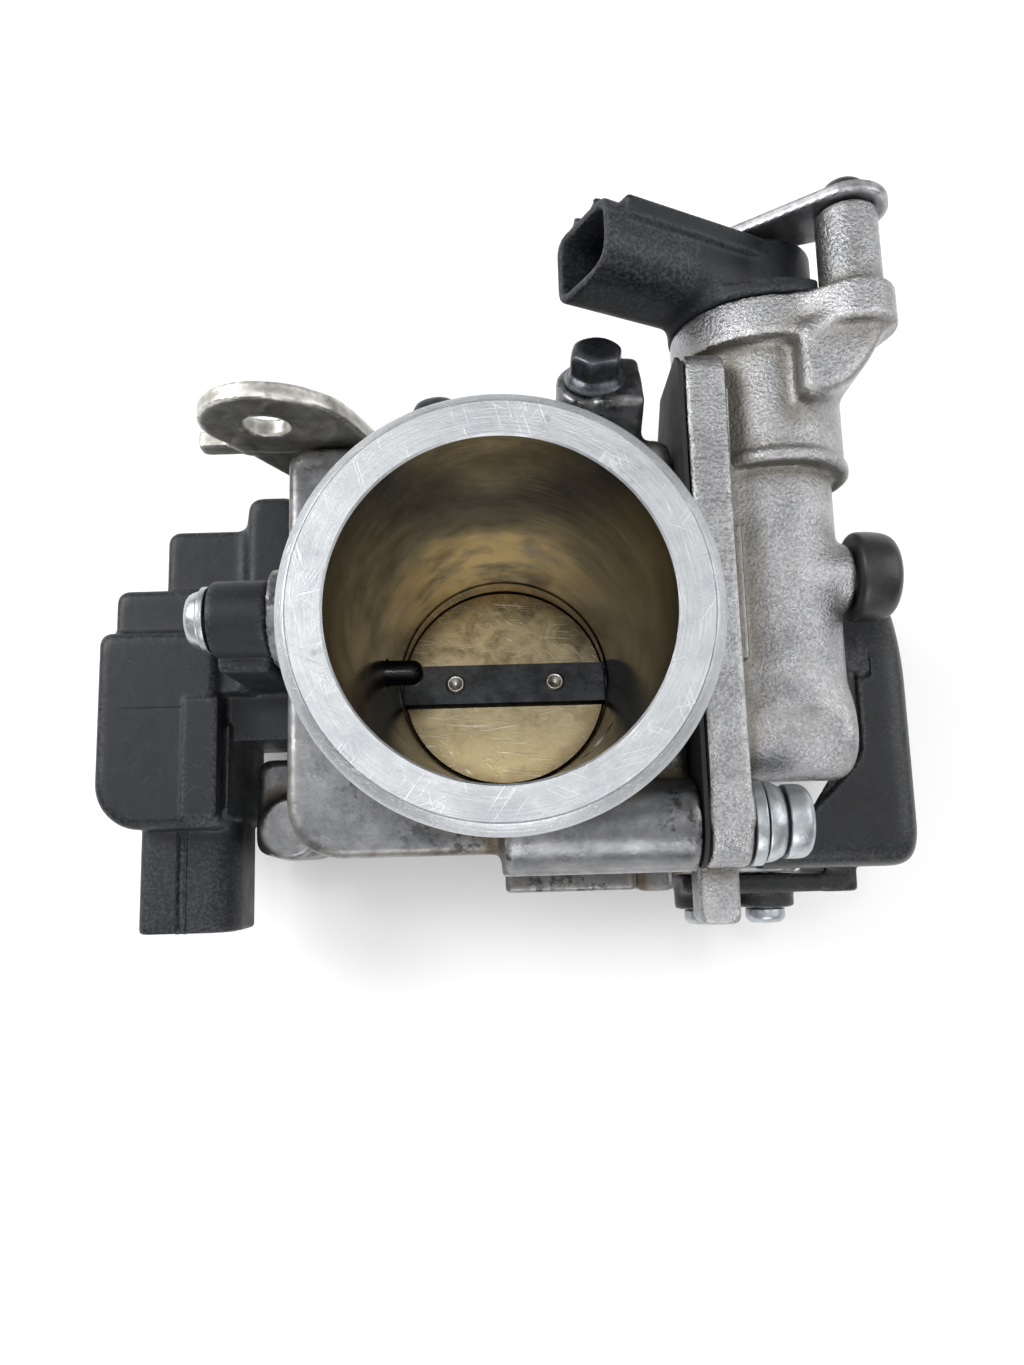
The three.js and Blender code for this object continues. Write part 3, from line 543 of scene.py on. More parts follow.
class Look:
    """A procedural material. Sizes are in millimetres, in the object's own frame."""

    def __init__(self, name, metallic=0.0, roughness=0.5):
        self.material = bpy.data.materials.new(name)
        self.material.use_nodes = True
        self.tree = self.material.node_tree
        self.shader = self.tree.nodes["Principled BSDF"]
        settle(self.shader, {"Metallic": metallic, "Roughness": roughness})
        self.place = self.new("ShaderNodeTexCoord").outputs["Object"]
        self.height = None

    def new(self, kind, **settings):
        node = self.tree.nodes.new(kind)
        for name, value in settings.items():
            setattr(node, name, value)
        return node

    def feed(self, socket, value):
        if isinstance(value, bpy.types.NodeSocket):
            self.tree.links.new(value, socket)
        else:
            socket.default_value = value

    def mapped(self, stretch=(1, 1, 1), turn=(0, 0, 0), shift=(0, 0, 0), source=None):
        node = self.new("ShaderNodeMapping")
        self.feed(node.inputs["Vector"], source or self.place)
        settle(node, {"Scale": stretch, "Rotation": turn, "Location": shift})
        return node.outputs["Vector"]

    def noise(self, size, detail=3.0, soft=0.55, distort=0.0, vector=None, **mapping):
        node = self.new("ShaderNodeTexNoise")
        source = self.mapped(**mapping) if mapping else (vector or self.place)
        self.feed(node.inputs["Vector"], source)
        settle(node, {"Scale": 1 / (size * MM), "Detail": detail, "Roughness": soft,
                      "Distortion": distort})
        return node.outputs["Fac"]

    def around(self, spread=0.004):
        """Coordinates that run round the duct: angle, radius and height."""
        centred = self.new("ShaderNodeVectorMath", operation="SUBTRACT")
        self.feed(centred.inputs[0], self.place)
        centred.inputs[1].default_value = ORIGIN
        parts = self.new("ShaderNodeSeparateXYZ")
        self.feed(parts.inputs[0], centred.outputs[0])
        angle = self.math("ARCTAN2", parts.outputs["Y"], parts.outputs["X"])
        radius = self.math("POWER", self.plus(
            self.times(parts.outputs["X"], parts.outputs["X"]),
            self.times(parts.outputs["Y"], parts.outputs["Y"]),
        ), 0.5)
        gathered = self.new("ShaderNodeCombineXYZ")
        self.feed(gathered.inputs[0], self.times(angle, spread))
        self.feed(gathered.inputs[1], radius)
        self.feed(gathered.inputs[2], parts.outputs["Z"])
        return gathered.outputs[0], parts.outputs, radius

    def math(self, operation, a, b=0.0):
        node = self.new("ShaderNodeMath", operation=operation)
        self.feed(node.inputs[0], a)
        self.feed(node.inputs[1], b)
        return node.outputs[0]

    def times(self, a, b):
        return self.math("MULTIPLY", a, b)

    def plus(self, a, b):
        return self.math("ADD", a, b)

    def span(self, value, low, high, start=0.0, end=1.0):
        node = self.new("ShaderNodeMapRange")
        self.feed(node.inputs["Value"], value)
        settle(node, {"From Min": low, "From Max": high, "To Min": start, "To Max": end})
        return node.outputs["Result"]

    def mix(self, share, a, b):
        node = self.new("ShaderNodeMix", data_type="RGBA")
        self.feed(node.inputs[0], share)
        self.feed(node.inputs[6], a if isinstance(a, bpy.types.NodeSocket) else (*a, 1))
        self.feed(node.inputs[7], b if isinstance(b, bpy.types.NodeSocket) else (*b, 1))
        return node.outputs[2]

    def vertex(self, label):
        return self.new("ShaderNodeAttribute", attribute_name=label).outputs["Fac"]

    def sawn_top(self):
        """1 on the sawn top of the idle-air housing's flange, away from its lower end."""
        parts = self.new("ShaderNodeSeparateXYZ")
        self.feed(parts.inputs[0], self.place)
        top = self.span(parts.outputs["Z"], ORIGIN.z + 43.6 * MM, ORIGIN.z + 44.2 * MM)
        along = self.span(parts.outputs["Y"], ORIGIN.y - 5 * MM, ORIGIN.y + 15 * MM)
        near = self.span(parts.outputs["X"], ORIGIN.x + 38.2 * MM, ORIGIN.x + 38.6 * MM, 1, 0)
        return self.times(self.times(top, along), near)

    def colour(self, value):
        self.feed(self.shader.inputs["Base Color"], value)
        return self

    def rough(self, value):
        self.feed(self.shader.inputs["Roughness"], value)
        return self

    def bump(self, value, depth):
        """Adds relief of about depth millimetres."""
        node = self.new("ShaderNodeBump")
        settle(node, {"Distance": depth * MM, "Strength": 1.0})
        self.feed(node.inputs["Height"], value)
        if self.height is not None:
            self.feed(node.inputs["Normal"], self.height)
        self.height = node.outputs["Normal"]
        self.feed(self.shader.inputs["Normal"], self.height)
        return self

    def scratches(self, width, length, share=0.5, turns=(0.4, 1.3, 2.5)):
        """Thin short lines in several directions, 1 on a line."""
        total = None
        for i, turn in enumerate(turns):
            turned = self.mapped(turn=(0, 0, turn), shift=(0.013 * i, 0.007 * i, 0))
            lines = self.noise(width, 0.0, vector=self.mapped(
                stretch=(width / length, 1, 1), source=turned))
            patch = self.noise(length * 0.8, 1.0, vector=turned)
            mark = self.times(self.span(lines, 0.70, 0.76),
                             self.span(patch, share - 0.06, share + 0.04))
            total = mark if total is None else self.math("MAXIMUM", total, mark)
        return total


def cast_metal(name, light, dark, grime_and_shade, roughness, grain, grime_and_shade_share, mottle, relief,
               speckle=0.3, sawn=False):
    """Sand-grained aluminium with grime and painted shade in its corners and brighter worn edges.
    """
    look = Look(name, metallic=0.92)
    blotch = look.span(look.noise(9, 4), 0.35, 0.68)
    speck = look.span(look.noise(grain, 3, 0.7), 0.40, 0.60)
    base = look.mix(blotch, dark, light)
    base = look.mix(speck, look.mix(speckle, base, tuple(c * 0.5 for c in dark)),
                    look.mix(speckle, base, tuple(c * 1.3 for c in light)))
    worn = look.times(look.vertex("wear"), look.span(look.noise(2.5, 3), 0.35, 0.6))
    base = look.mix(look.times(worn, 0.4), base, (0.62, 0.62, 0.61))
    # film: grime plus painted shade, darker in corners and recesses from the occlusion mask, with
    # random grime on top
    film = look.plus(look.times(look.vertex("dirt_and_shade"), 1.6),
                     look.times(look.noise(14, 5, 0.65), 0.8))
    film = look.span(film, 0.62, 1.15, 0, grime_and_shade_share)
    base = look.mix(film, base, grime_and_shade)
    patch = look.times(look.span(look.noise(16, 2), 0.48, 0.62),
                      look.span(look.noise(2.4, 5, 0.75), 0.50, 0.60, 0, mottle))
    look.colour(look.mix(patch, base, (0.035, 0.035, 0.035)))
    look.rough(look.plus(look.span(look.noise(3, 4), 0.3, 0.7, roughness - 0.08,
                                          roughness + 0.1), look.times(film, 0.3)))
    look.bump(look.noise(grain, 3, 0.6), relief)
    look.bump(look.noise(6, 2), 0.2)
    if sawn:
        look.bump(look.times(look.noise(0.7, 2, stretch=(0.05, 1, 1)), look.sawn_top()), 0.12)
    return look.material


def machined_metal(name):
    """Faced aluminium: fine arcs round the duct, crossed by light scratches."""
    look = Look(name, metallic=0.95)
    arcs, _, _ = look.around(0.0015)
    lines = look.noise(0.30, 3, 0.6, vector=arcs)
    cloud = look.span(look.noise(7, 5, 0.65), 0.35, 0.65)
    base = look.mix(cloud, (0.37, 0.39, 0.41), (0.47, 0.485, 0.50))
    base = look.mix(look.span(lines, 0.35, 0.7, 0, 0.35), base, (0.62, 0.63, 0.64))
    marks = look.scratches(0.25, 9, 0.50, turns=(0.4, 1.3, 2.2, 2.9))
    base = look.mix(look.times(marks, 0.40), base, (0.80, 0.81, 0.82))
    stain = look.span(look.noise(4, 5, 0.75), 0.60, 0.74, 0, 0.55)
    look.colour(look.mix(stain, base, (0.24, 0.22, 0.19)))
    look.rough(look.span(look.noise(2.2, 4), 0.3, 0.7, 0.36, 0.55))
    look.bump(lines, 0.05).bump(look.noise(0.8, 3, 0.65), 0.05)
    look.bump(marks, 0.02)
    return look.material


def duct_wall(name):
    """The polished duct under a film of brown varnish, with a painted dark reflection on the drum
    side and a painted reflection of the plate low on the far wall.
    """
    look = Look(name, metallic=0.95)
    arcs, parts, _ = look.around(0.0012)
    rings = look.noise(0.4, 3, 0.6, vector=arcs)
    cloud = look.noise(12, 5, 0.6)
    side = look.span(parts["X"], -0.004, 0.021)
    depth = look.span(parts["Z"], 0.0, 0.062)
    facing = look.span(parts["Y"], 0.004, 0.018)
    low = look.span(look.plus(parts["Z"], look.times(cloud, 0.03)),
                    0.056, 0.042)
    # painted reflection: a golden patch low on the far (+Y) wall stands in for the mirrored image
    # of the lit brass plate
    painted_plate_reflection = look.times(look.times(facing, low),
                     look.span(look.noise(9, 4, 0.6), 0.36, 0.54))
    base = look.mix(look.span(cloud, 0.32, 0.66), (0.47, 0.44, 0.39), (0.19, 0.175, 0.15))
    base = look.mix(painted_plate_reflection, base, (1.0, 0.80, 0.45))
    # painted dark reflection: the drum (+X) side of the wall is darkened in colour
    base = look.mix(look.times(side, 0.95), base, (0.055, 0.048, 0.04))
    base = look.mix(look.span(rings, 0.45, 0.75, 0, 0.3), base, (0.70, 0.62, 0.48))
    # the wall turns darker in patches towards the mouth
    mouth_darkening = look.span(look.plus(depth, look.noise(5, 5, 0.7)), 1.15, 1.5, 0, 0.55)
    look.colour(look.mix(mouth_darkening, base, (0.04, 0.035, 0.03)))
    look.rough(look.span(cloud, 0.3, 0.7, 0.13, 0.26))
    look.bump(rings, 0.018).bump(look.noise(14, 2), 0.05)
    return look.material


def stained_brass(name):
    look = Look(name, metallic=0.95)
    cloud = look.noise(6, 5, 0.7, distort=0.6)
    fine = look.noise(0.7, 4, 0.7)
    base = look.mix(look.span(cloud, 0.38, 0.60), (0.19, 0.158, 0.098), (0.56, 0.485, 0.32))
    base = look.mix(look.span(fine, 0.45, 0.7, 0, 0.35), base, (0.58, 0.52, 0.37))
    _, parts, radius = look.around()
    warm = look.span(parts["Y"], 0.004, -0.016, 0, 0.55)
    base = look.mix(warm, base, (0.62, 0.50, 0.25))
    rim = look.span(look.plus(radius, look.times(cloud, 0.004)),
                    0.0185, 0.0222, 0, 0.85)
    base = look.mix(rim, base, (0.16, 0.11, 0.06))
    marks = look.scratches(0.25, 10, 0.52, turns=(-0.12, 0.1, 0.75))
    look.colour(look.mix(look.times(marks, 0.5), base, (0.92, 0.88, 0.74)))
    look.rough(look.span(cloud, 0.3, 0.7, 0.30, 0.46))
    look.bump(fine, 0.02).bump(marks, 0.02)
    return look.material


def plated_steel(name, light, dark, roughness, rust=0.1):
    look = Look(name, metallic=0.95)
    cloud = look.span(look.noise(3.2, 5, 0.65), 0.35, 0.65)
    base = look.mix(cloud, dark, light)
    spots = look.span(look.noise(1.4, 5, 0.75), 0.62, 0.74, 0, rust * 3)
    base = look.mix(spots, base, (0.16, 0.13, 0.10))
    worn = look.times(look.vertex("wear"), look.span(look.noise(1.5, 3), 0.3, 0.55))
    look.colour(look.mix(worn, base, tuple(min(1, c * 1.6) for c in light)))
    look.rough(look.span(look.noise(1.2, 4), 0.3, 0.7, roughness - 0.07, roughness + 0.1))
    look.bump(look.noise(0.5, 3, 0.6), 0.03)
    look.bump(look.scratches(0.2, 4, 0.55), 0.01)
    return look.material


def moulded_plastic(name, tone, dust, roughness, dusty):
    """Black moulding compound with dust, scuffs and faint flow marks."""
    look = Look(name, roughness=roughness)
    look.shader.inputs["Specular IOR Level"].default_value = 0.32
    cloud = look.noise(8, 5, 0.6, distort=0.3)
    fine = look.noise(0.6, 4, 0.7)
    base = look.mix(look.span(cloud, 0.3, 0.7), tone, tuple(c * 1.7 for c in tone))
    film = look.plus(look.times(look.vertex("dirt_and_shade"), 0.55),
                     look.times(cloud, 0.9))
    film = look.plus(film, look.times(fine, 0.2))
    base = look.mix(look.span(film, 0.62, 1.15, 0, dusty), base, dust)
    marks = look.scratches(0.2, 5, 0.55)
    base = look.mix(look.times(marks, 0.05), base, (0.25, 0.25, 0.25))
    worn = look.times(look.vertex("wear"), look.span(fine, 0.45, 0.62, 0, 0.45))
    look.colour(look.mix(worn, base, (0.10, 0.105, 0.11)))
    look.rough(look.span(cloud, 0.3, 0.7, roughness - 0.1, roughness + 0.12))
    look.bump(fine, 0.03).bump(look.noise(4, 2), 0.10)
    return look.material


def rubber_skin(name):
    look = Look(name, roughness=0.6)
    cloud = look.noise(5, 4)
    base = look.mix(look.span(cloud, 0.35, 0.7), (0.006, 0.006, 0.0065), (0.014, 0.0145, 0.0155))
    look.colour(look.mix(look.span(look.noise(1.2, 5, 0.7), 0.6, 0.78, 0, 0.3), base,
                         (0.05, 0.047, 0.042)))
    look.rough(look.span(cloud, 0.3, 0.7, 0.30, 0.46))
    look.bump(look.noise(0.5, 3, 0.6), 0.03)
    return look.material


# the third colour is grime with painted shade, laid into corners and recesses
cast = cast_metal("cast_aluminium", (0.22, 0.222, 0.228), (0.105, 0.108, 0.116),
                  (0.13, 0.108, 0.076), 0.34, 1.0, 0.95, 0.85, 0.05, speckle=0.12)
bright_cast = cast_metal("bright_cast", (0.42, 0.42, 0.428), (0.23, 0.232, 0.24),
                         (0.17, 0.15, 0.115), 0.28, 0.55, 0.65, 0.15, 0.26,
                         speckle=0.3, sawn=True)
machined = machined_metal("machined_aluminium")
duct = duct_wall("varnished_duct")
brass = stained_brass("stained_brass")
bronze = plated_steel("sintered_bronze", (0.50, 0.34, 0.17), (0.36, 0.24, 0.12), 0.4)
black_steel = plated_steel("black_oxide", (0.075, 0.080, 0.090), (0.034, 0.038, 0.043), 0.32, 0.04)
dark_steel = plated_steel("dark_steel", (0.30, 0.30, 0.31), (0.15, 0.15, 0.16), 0.38, 0.2)
zinc = plated_steel("zinc_plate", (0.48, 0.51, 0.53), (0.30, 0.32, 0.34), 0.33, 0.1)
bracket_zinc = plated_steel("dull_zinc", (0.46, 0.45, 0.42), (0.26, 0.25, 0.23), 0.40, 0.22)
steel = plated_steel("bare_steel", (0.46, 0.47, 0.49), (0.27, 0.28, 0.30), 0.36, 0.2)
tin = plated_steel("bright_tin", (0.92, 0.92, 0.90), (0.80, 0.80, 0.78), 0.30, 0.0)
sensor_plastic = moulded_plastic("sensor_plastic", (0.0055, 0.0065, 0.009), (0.07, 0.07, 0.07),
                                 0.46, 0.36)
cover_plastic = moulded_plastic("cover_plastic", (0.008, 0.0085, 0.010), (0.075, 0.07, 0.065),
                                0.36, 0.28)
gloss_plastic = moulded_plastic("gloss_plastic", (0.004, 0.004, 0.005), (0.02, 0.02, 0.02),
                                0.14, 0.05)
rubber = rubber_skin("rubber")
gasket = moulded_plastic("gasket_sheet", (0.012, 0.012, 0.012), (0.08, 0.065, 0.045), 0.7, 0.5)


# ------------------------------------------------------------------ main casting
def plug_turn():
    return about_x(-PLUG_LEAN)


def main_body():
    z0, z1 = BLOCK_Z
    body = Body(0.72)
    plan = [(-36, -28), (-31, -33), (30, -33), (30, 37), (-36, 37)]
    body.add(prism("z", plan, z0, z1, 3.5, 2.2))
    body.add(rod("z", SPIGOT_R - 0.25, z1 - 6, 47), fillet=3)
    body.add(rod("z", OUTLET_R - 1.2, -24, z0 + 4), fillet=2.5)
    body.add(
        block(-38, -34, -12, 30, -18, 14),
        rod("x", 8, -43, -34),
        rod("x", 8, -37.2, -24, EAR, 0.5),
        rod("x", 6.5, -37.2, -30, EAR_LOW),
        prism("z", [(-49, -32), (-34, -32), (-34, -13.5), (-49, -13.5)], z0, 2, 3, 2),
        rod("z", 6, z0, 7, (-41.5, -27), 1.5),
        rod("x", 9, 28, 42), fillet=2.5,
    )
    body.add(
        rod("x", 7, -0.5, 30, LOWER_SCREW, 0.9),
        block(-0.5, 30, -36, -25, 25, 38),
        block(-0.7, 23, -40, -31, 0, 15),
        block(24, 30, -40.5, -31, -3, 12),
        rod("x", 6.5, 20, 30, UPPER_SCREW), fillet=2,
    )
    for x, y, z in PLUG_SEATS:
        body.add(placed(rod("z", 6.5, -21, 0, edge=0.7), plug_turn(), (x, y, z)), fillet=3)
    seat = PLUG_SEATS[1]
    web = prism("z", [(0, -6.6), (7.8, -6.6), (7.8, 6.6), (0, 6.6)], -21, 0.6, 1.5, 1)
    body.add(placed(web, plug_turn(), seat), fillet=2)
    body.add(
        block(28, 54, -37.7, -33.5, -13, 8),
        block(28, 61.2, -19, -8, -19, -12.5),
        block(28, 57.5, 17, 27, -17.5, -7), fillet=2,
    )
    body.cut(rod("z", 23.2, -50, 90, edge=0.1), fillet=0.2)
    mesh = Mesh().cast(body)
    piece("main_body", mesh, [cast])


def duct_tube():
    """The duct's wall, intake lip and outlet spigot, which were turned after casting."""
    z0, z1 = BLOCK_Z
    steps = 24
    wall = [
        (MOUTH_R + (THROAT_R - MOUTH_R) * i / steps, MOUTH_Z - 0.3 - (MOUTH_Z - 5.3) * i / steps)
        for i in range(steps + 1)
    ]
    outer = [
        (BORE_R, BASE_Z + 0.3), (BORE_R + 0.3, BASE_Z), (OUTLET_R - 0.8, BASE_Z),
        (OUTLET_R, BASE_Z + 0.8, 0.3), (OUTLET_R, BASE_Z + 3.8, 0.8),
        (OUTLET_R - 1, BASE_Z + 5, 0.8),
        (OUTLET_R - 1, z0 + 4), (OUTLET_R + 1, z0 + 6), (OUTLET_R + 1, z1 - 5),
        (SPIGOT_R, z1 + 2), (SPIGOT_R, 59.6, 1), (LIP_R, 62.3, 1.2), (LIP_R, MOUTH_Z - 1.5, 0.8),
        (LIP_FLAT_R + 0.35, MOUTH_Z - 0.28, 0.3), (LIP_FLAT_R + 0.1, MOUTH_Z - 0.14),
        (LIP_FLAT_R, MOUTH_Z - 0.22), (LIP_FLAT_R - 0.12, MOUTH_Z),
        (MOUTH_R + 0.3, MOUTH_Z),
    ]
    inner = [(BORE_R + 0.02, 4.7), (BORE_R, 4.2), (BORE_R, BASE_Z + 0.3)]
    mesh = Mesh()
    mesh.turn("z", outer + wall + inner[:-1], segments=2 * ROUND)
    tube = mesh.object("duct_tube", [machined, duct], sharp=TURNED_SHARP)
    probe_hole = Mesh().turn("x", [(0, -31), (2.8, -31), (2.8, -12), (0, -12)], PROBE, segments=40)
    idle_port = Mesh().turn("x", [(0, 8), (3.2, 8), (3.2, 28), (0, 28)], PORT_IN, segments=40)
    bypass = Mesh().turn("x", [(0, 12), (2.8, 12), (2.8, 24), (0, 24)], (10.0, -12.0), segments=40)
    pierced(tube, probe_hole, idle_port, bypass)
    for face in tube.data.polygons:
        x, y, z = Vector(face.center) / MM - ORIGIN / MM
        nx, ny, _ = face.normal
        inward = (x * nx + y * ny) < 0
        on_wall = math.hypot(x, y) < MOUTH_R + 1.2 and z < MOUTH_Z - 0.31
        face.material_index = 1 if on_wall and inward and z > BASE_Z + 0.31 else 0
    tube.data.set_sharp_from_angle(angle=TURNED_SHARP)
    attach(tube, "casting")


# ------------------------------------------------------------------ shaft, plate and drum
TILT = about_x(-CLOSED_TILT)


def flatted_bar():
    """The shaft's milled middle: a round section with a flat on top, between two round ends."""
    half = PLATE_R + 0.2
    start = math.asin(SHAFT_FLAT / SHAFT_R)
    arc = np.linspace(math.pi - start, 2 * math.pi + start, 41)
    section = [(SHAFT_R * math.cos(a), SHAFT_R * math.sin(a)) for a in arc]
    points, faces = [], []
    for x, shrink in ((-half, 0), (-half + 0.001, 1), (half - 0.001, 1), (half, 0)):
        points += [(x, y * (0.97 + 0.03 * shrink), z * (0.97 + 0.03 * shrink)) for y, z in section]
    count = len(section)
    for row in range(3):
        for i in range(count):
            j = (i + 1) % count
            a, b = row * count, (row + 1) * count
            faces.append((a + i, a + j, b + j, b + i))
    faces.append(tuple(range(count - 1, -1, -1)))
    faces.append(tuple(range(3 * count, 4 * count)))
    return np.array(points) @ TILT.T, faces


def throttle():
    shaft = Mesh()
    shaft.put(*flatted_bar())
    edge = PLATE_R + 0.05
    for profile in (
        [(0, -57), (3.5, -57, 0.4), (3.5, -45), (SHAFT_R, -45, 0.3), (SHAFT_R, -edge, 0.3),
         (0, -edge)],
        [(0, edge), (SHAFT_R, edge, 0.3), (SHAFT_R, 57, 0.3), (4, 57), (4, 68.6), (2.9, 68.6),
         (2.9, 71.6, 0.4), (0, 71.6)],
    ):
        shaft.turn("x", profile)
    piece("throttle_shaft", shaft, [black_steel], "throttle")

    half = PLATE_T / 2
    rim = PLATE_R + 0.12
    disc = [(0, -half), (rim - 0.1, -half), (rim, -half + 0.1), (rim, half - 0.08),
            (rim - 0.08, half), (0, half)]
    plate = Mesh().turn("z", disc, segments=2 * ROUND, turn=TILT)
    piece("throttle_plate", plate, [brass], "throttle")

    for i, x in enumerate(PLATE_SCREW_X):
        top = SHAFT_FLAT
        staked = [(0, top + 0.1), (0.3, top + 0.12), (1.25, top + 0.78, 0.12),
                  (1.5, top + 0.85, 0.12),
                  (2.0, top + 0.35, 0.2), (2.0, top + 0.02), (1.3, top - 0.4),
                  (1.3, -4.9, 0.3), (0, -4.9)]
        screw = Mesh().turn("z", staked, segments=40, turn=TILT, origin=TILT @ np.array([x, 0, 0]))
        piece(f"plate_screw_{i + 1}", screw, [tin], "throttle")

    drum = Body(0.42)
    drum.add(rod("x", 7, 57, 62, edge=0.4), rod("x", 16, 61.3, 67.7, edge=0.5))
    drum.add(strap("x", (0, 0), 8.5, (-13.5, 0), 3, 57, 59.8), fillet=0.5)
    drum.cut(outside("x", 13.5, 62.5, 66.5, 18))
    drum.cut(prism("x", [(3, -30), (3, -12), (12, -3), (30, -3), (30, -30)], 60, 69, 4))
    drum.cut(rod("x", 1.9, 62.9, 66.1, (-11.2, 8.9)), rod("x", 4.1, 50, 80))
    piece("throttle_drum", Mesh().cast(drum), [steel], "throttle")
    washer = [(3.3, 68.95), (6, 68.95, 0.15), (6, 69.7, 0.15), (3.3, 69.7)]
    piece("drum_washer", Mesh().turn("x", washer), [zinc], "throttle")
    nut = Body(0.2).add(hexagon("x", 9, 69.95, 71.5)).cut(rod("x", 3.1, 60, 80))
    piece("drum_nut", Mesh().cast(nut), [zinc], "throttle")


def hexagon(axis, across, start, end):
    radius = across / math.sqrt(3)
    points = [(radius * math.cos(k * math.pi / 3), radius * math.sin(k * math.pi / 3))
              for k in range(6)]
    return prism(axis, points, start, end, 0.35, 0.3)


def spiral(radius, start, end, turns, axis="x", at=(0.0, 0.0)):
    first, second, along = BESIDE[axis]
    count = int(turns * WIRE_STEPS)
    path = np.zeros((count + 1, 3))
    share = np.arange(count + 1) / count
    # the end turns lie closer, as a wound spring's do
    lead = share - 0.06 * np.sin(2 * math.pi * share) / (2 * math.pi)
    angle = share * turns * 2 * math.pi
    path[:, first] = at[0] + radius * np.cos(angle)
    path[:, second] = at[1] + radius * np.sin(angle)
    path[:, along] = start + (end - start) * lead
    return path


def springs():
    coil = spiral(10.4, 44.2, 55.4, 4.25)
    legs = [coil[0] + np.array([-0.02, 0.0, -1.0]) * k for k in (4.5, 3, 1.5)]
    hook = [coil[-1] + np.array([0.02, 1.0, 0.0]) * k for k in (-1.5, -3.0)]
    path = np.array([*legs, *coil, *hook])
    made = Mesh().wire(path, 0.9, sides=14).object("return_spring_form", [steel])
    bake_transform(made)
    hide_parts("return_spring")
    small = spiral(2.95, -24.7, -19.8, 3.2, "z", STOP_SCREW)
    piece("idle_stop_spring", Mesh().wire(small, 0.45, sides=12), [steel])


# ------------------------------------------------------------------ sensor side
def sensor_unit():
    body = Body(0.6)
    plan = [(-73.9, -22), (-69, -27), (-52, -27), (-52, 9), (-73.9, 9)]
    body.add(prism("z", plan, -15, 20, 2.5, 2.2))
    body.add(prism("z", [(-72, 5), (-53, 5), (-53, 17.5), (-72, 17.5)], -12, 17, 2.5, 1.8),
             fillet=1.2)
    body.add(prism("z", [(-64, 8), (-40, 8), (-40, 30), (-64, 30)], -10, 13, 2.5, 1.8), fillet=1.2)
    body.add(prism("z", [(-48, 8), (-38.4, 8), (-38.4, 35.5), (-48, 35.5)], -10, 16, 3, 2),
             fillet=3)
    body.add(block(-53, -38.4, -11, 12, -11, 13), fillet=1)
    body.add(block(-52.6, -46.6, -2.5, 4.5, 10, 18, 0.8), fillet=0.8)
    body.add(block(-47.5, -38.4, -2, 12, 12, 36, 1.5), fillet=1.5)
    body.add(rod("x", 6.3, -47.4, -37.6, EAR, 0.9), fillet=0.8)
    body.add(rod("x", 6, -47.5, -38.4, EAR_LOW), block(-47.5, -38.4, 15, 27, -17, -8))
    body.add(block(-51.7, -50.8, -25, -8, -12, 15, 0.4),
             block(-52.5, -50.8, -25.2, -23.8, -12, 15, 0.4),
             fillet=0.3)
    body.add(block(-57.9, -51.7, -25.4, -3.6, 17, 20.35, 0.4), fillet=0.3)
    shroud = [(-69.2, -8), (-51, -8), (-51, 6), (-54, 9), (-69.2, 9)]
    body.add(prism("y", shroud, -46, -24, 2.5, 0.8), fillet=0.8)
    body.add(block(-61.9, -61.3, -46, -26, 8, 9.6, 0.3), block(-60.5, -59.9, -46, -26, 8, 9.6, 0.3),
             fillet=0.3)
    socket = [(-67.6, -6.4), (-52.6, -6.4), (-52.6, 4.8), (-55, 7.4), (-67.6, 7.4)]
    body.cut(prism("y", socket, -60, -30, 1.5, 0.5))
    mesh = Mesh().cast(body)
    seam = 20.02
    mesh.wire([(-68.6, -25.6, seam - 0.35), (-67, -25.6, seam - 0.1), (-58, -25.6, seam)],
              0.16, sides=8)
    mesh.wire([(-73.2, -5.2, seam - 0.2), (-66, -5.2, seam), (-58.2, -5.2, seam)], 0.10, sides=8)
    piece("sensor_unit", mesh, [sensor_plastic])


def round_screw(head_x, tip_x):
    """A flanged dome-headed screw along X, its head at the low end."""
    return [
        (0, head_x), (2.6, head_x, 0.8), (4.3, head_x + 0.55, 1.4), (4.9, head_x + 2.4, 0.4),
        (4.8, head_x + 2.7), (5.5, head_x + 2.75, 0.2), (5.5, head_x + 3.8, 0.2),
        (2.1, head_x + 3.8),
        (2.1, tip_x), (0, tip_x),
    ]


def sensor_side():
    sensor_unit()
    probe = [(0, -38.1), (PROBE_R, -38.1), (PROBE_R, -16.6), (PROBE_R * 0.93, -15.7),
             (PROBE_R * 0.72, -15.0), (PROBE_R * 0.4, -14.6), (0, -14.5)]
    piece("air_temperature_probe", Mesh().turn("x", probe, PROBE, segments=64), [gloss_plastic])
    for node, at, tip in (("sensor_screw_upper", EAR, -29), ("sensor_screw_lower", EAR_LOW, -30)):
        screw = Mesh().turn("x", round_screw(-51.7, tip), at, segments=64)
        piece(node, screw, [zinc])


# ------------------------------------------------------------------ bracket and bolts
def bracket():
    x, z = BRACKET_HOLE
    y0, y1 = BRACKET_Y
    body = Body(0.42)
    body.add(rod("y", 11, y0, y1, (x, z), 0.5))
    arm = [(-41, 24), (-38, 17), (-18.3, 17), (-21.4, 39), (-26.5, 50.5), (-35, 54.5), (-46, 36)]
    foot = [(-38.5, 19), (-31, 4), (16, 3), (16, 19), (-30, 19.2)]
    body.add(prism("y", arm, y0, y1, 3, 0.5), prism("y", foot, y0, y1, 3, 0.5), fillet=0.6)
    body.add(prism("y", [(-51.3, 32), (-42, 32), (-42, 36.5), (-51.3, 36.5)], y0, y1, 1.2, 0.5),
             fillet=0.8)
    body.cut(rod("y", 3.8, 30, 50, (x, z)), fillet=0.5)
    piece("mounting_bracket", Mesh().cast(body), [bracket_zinc])


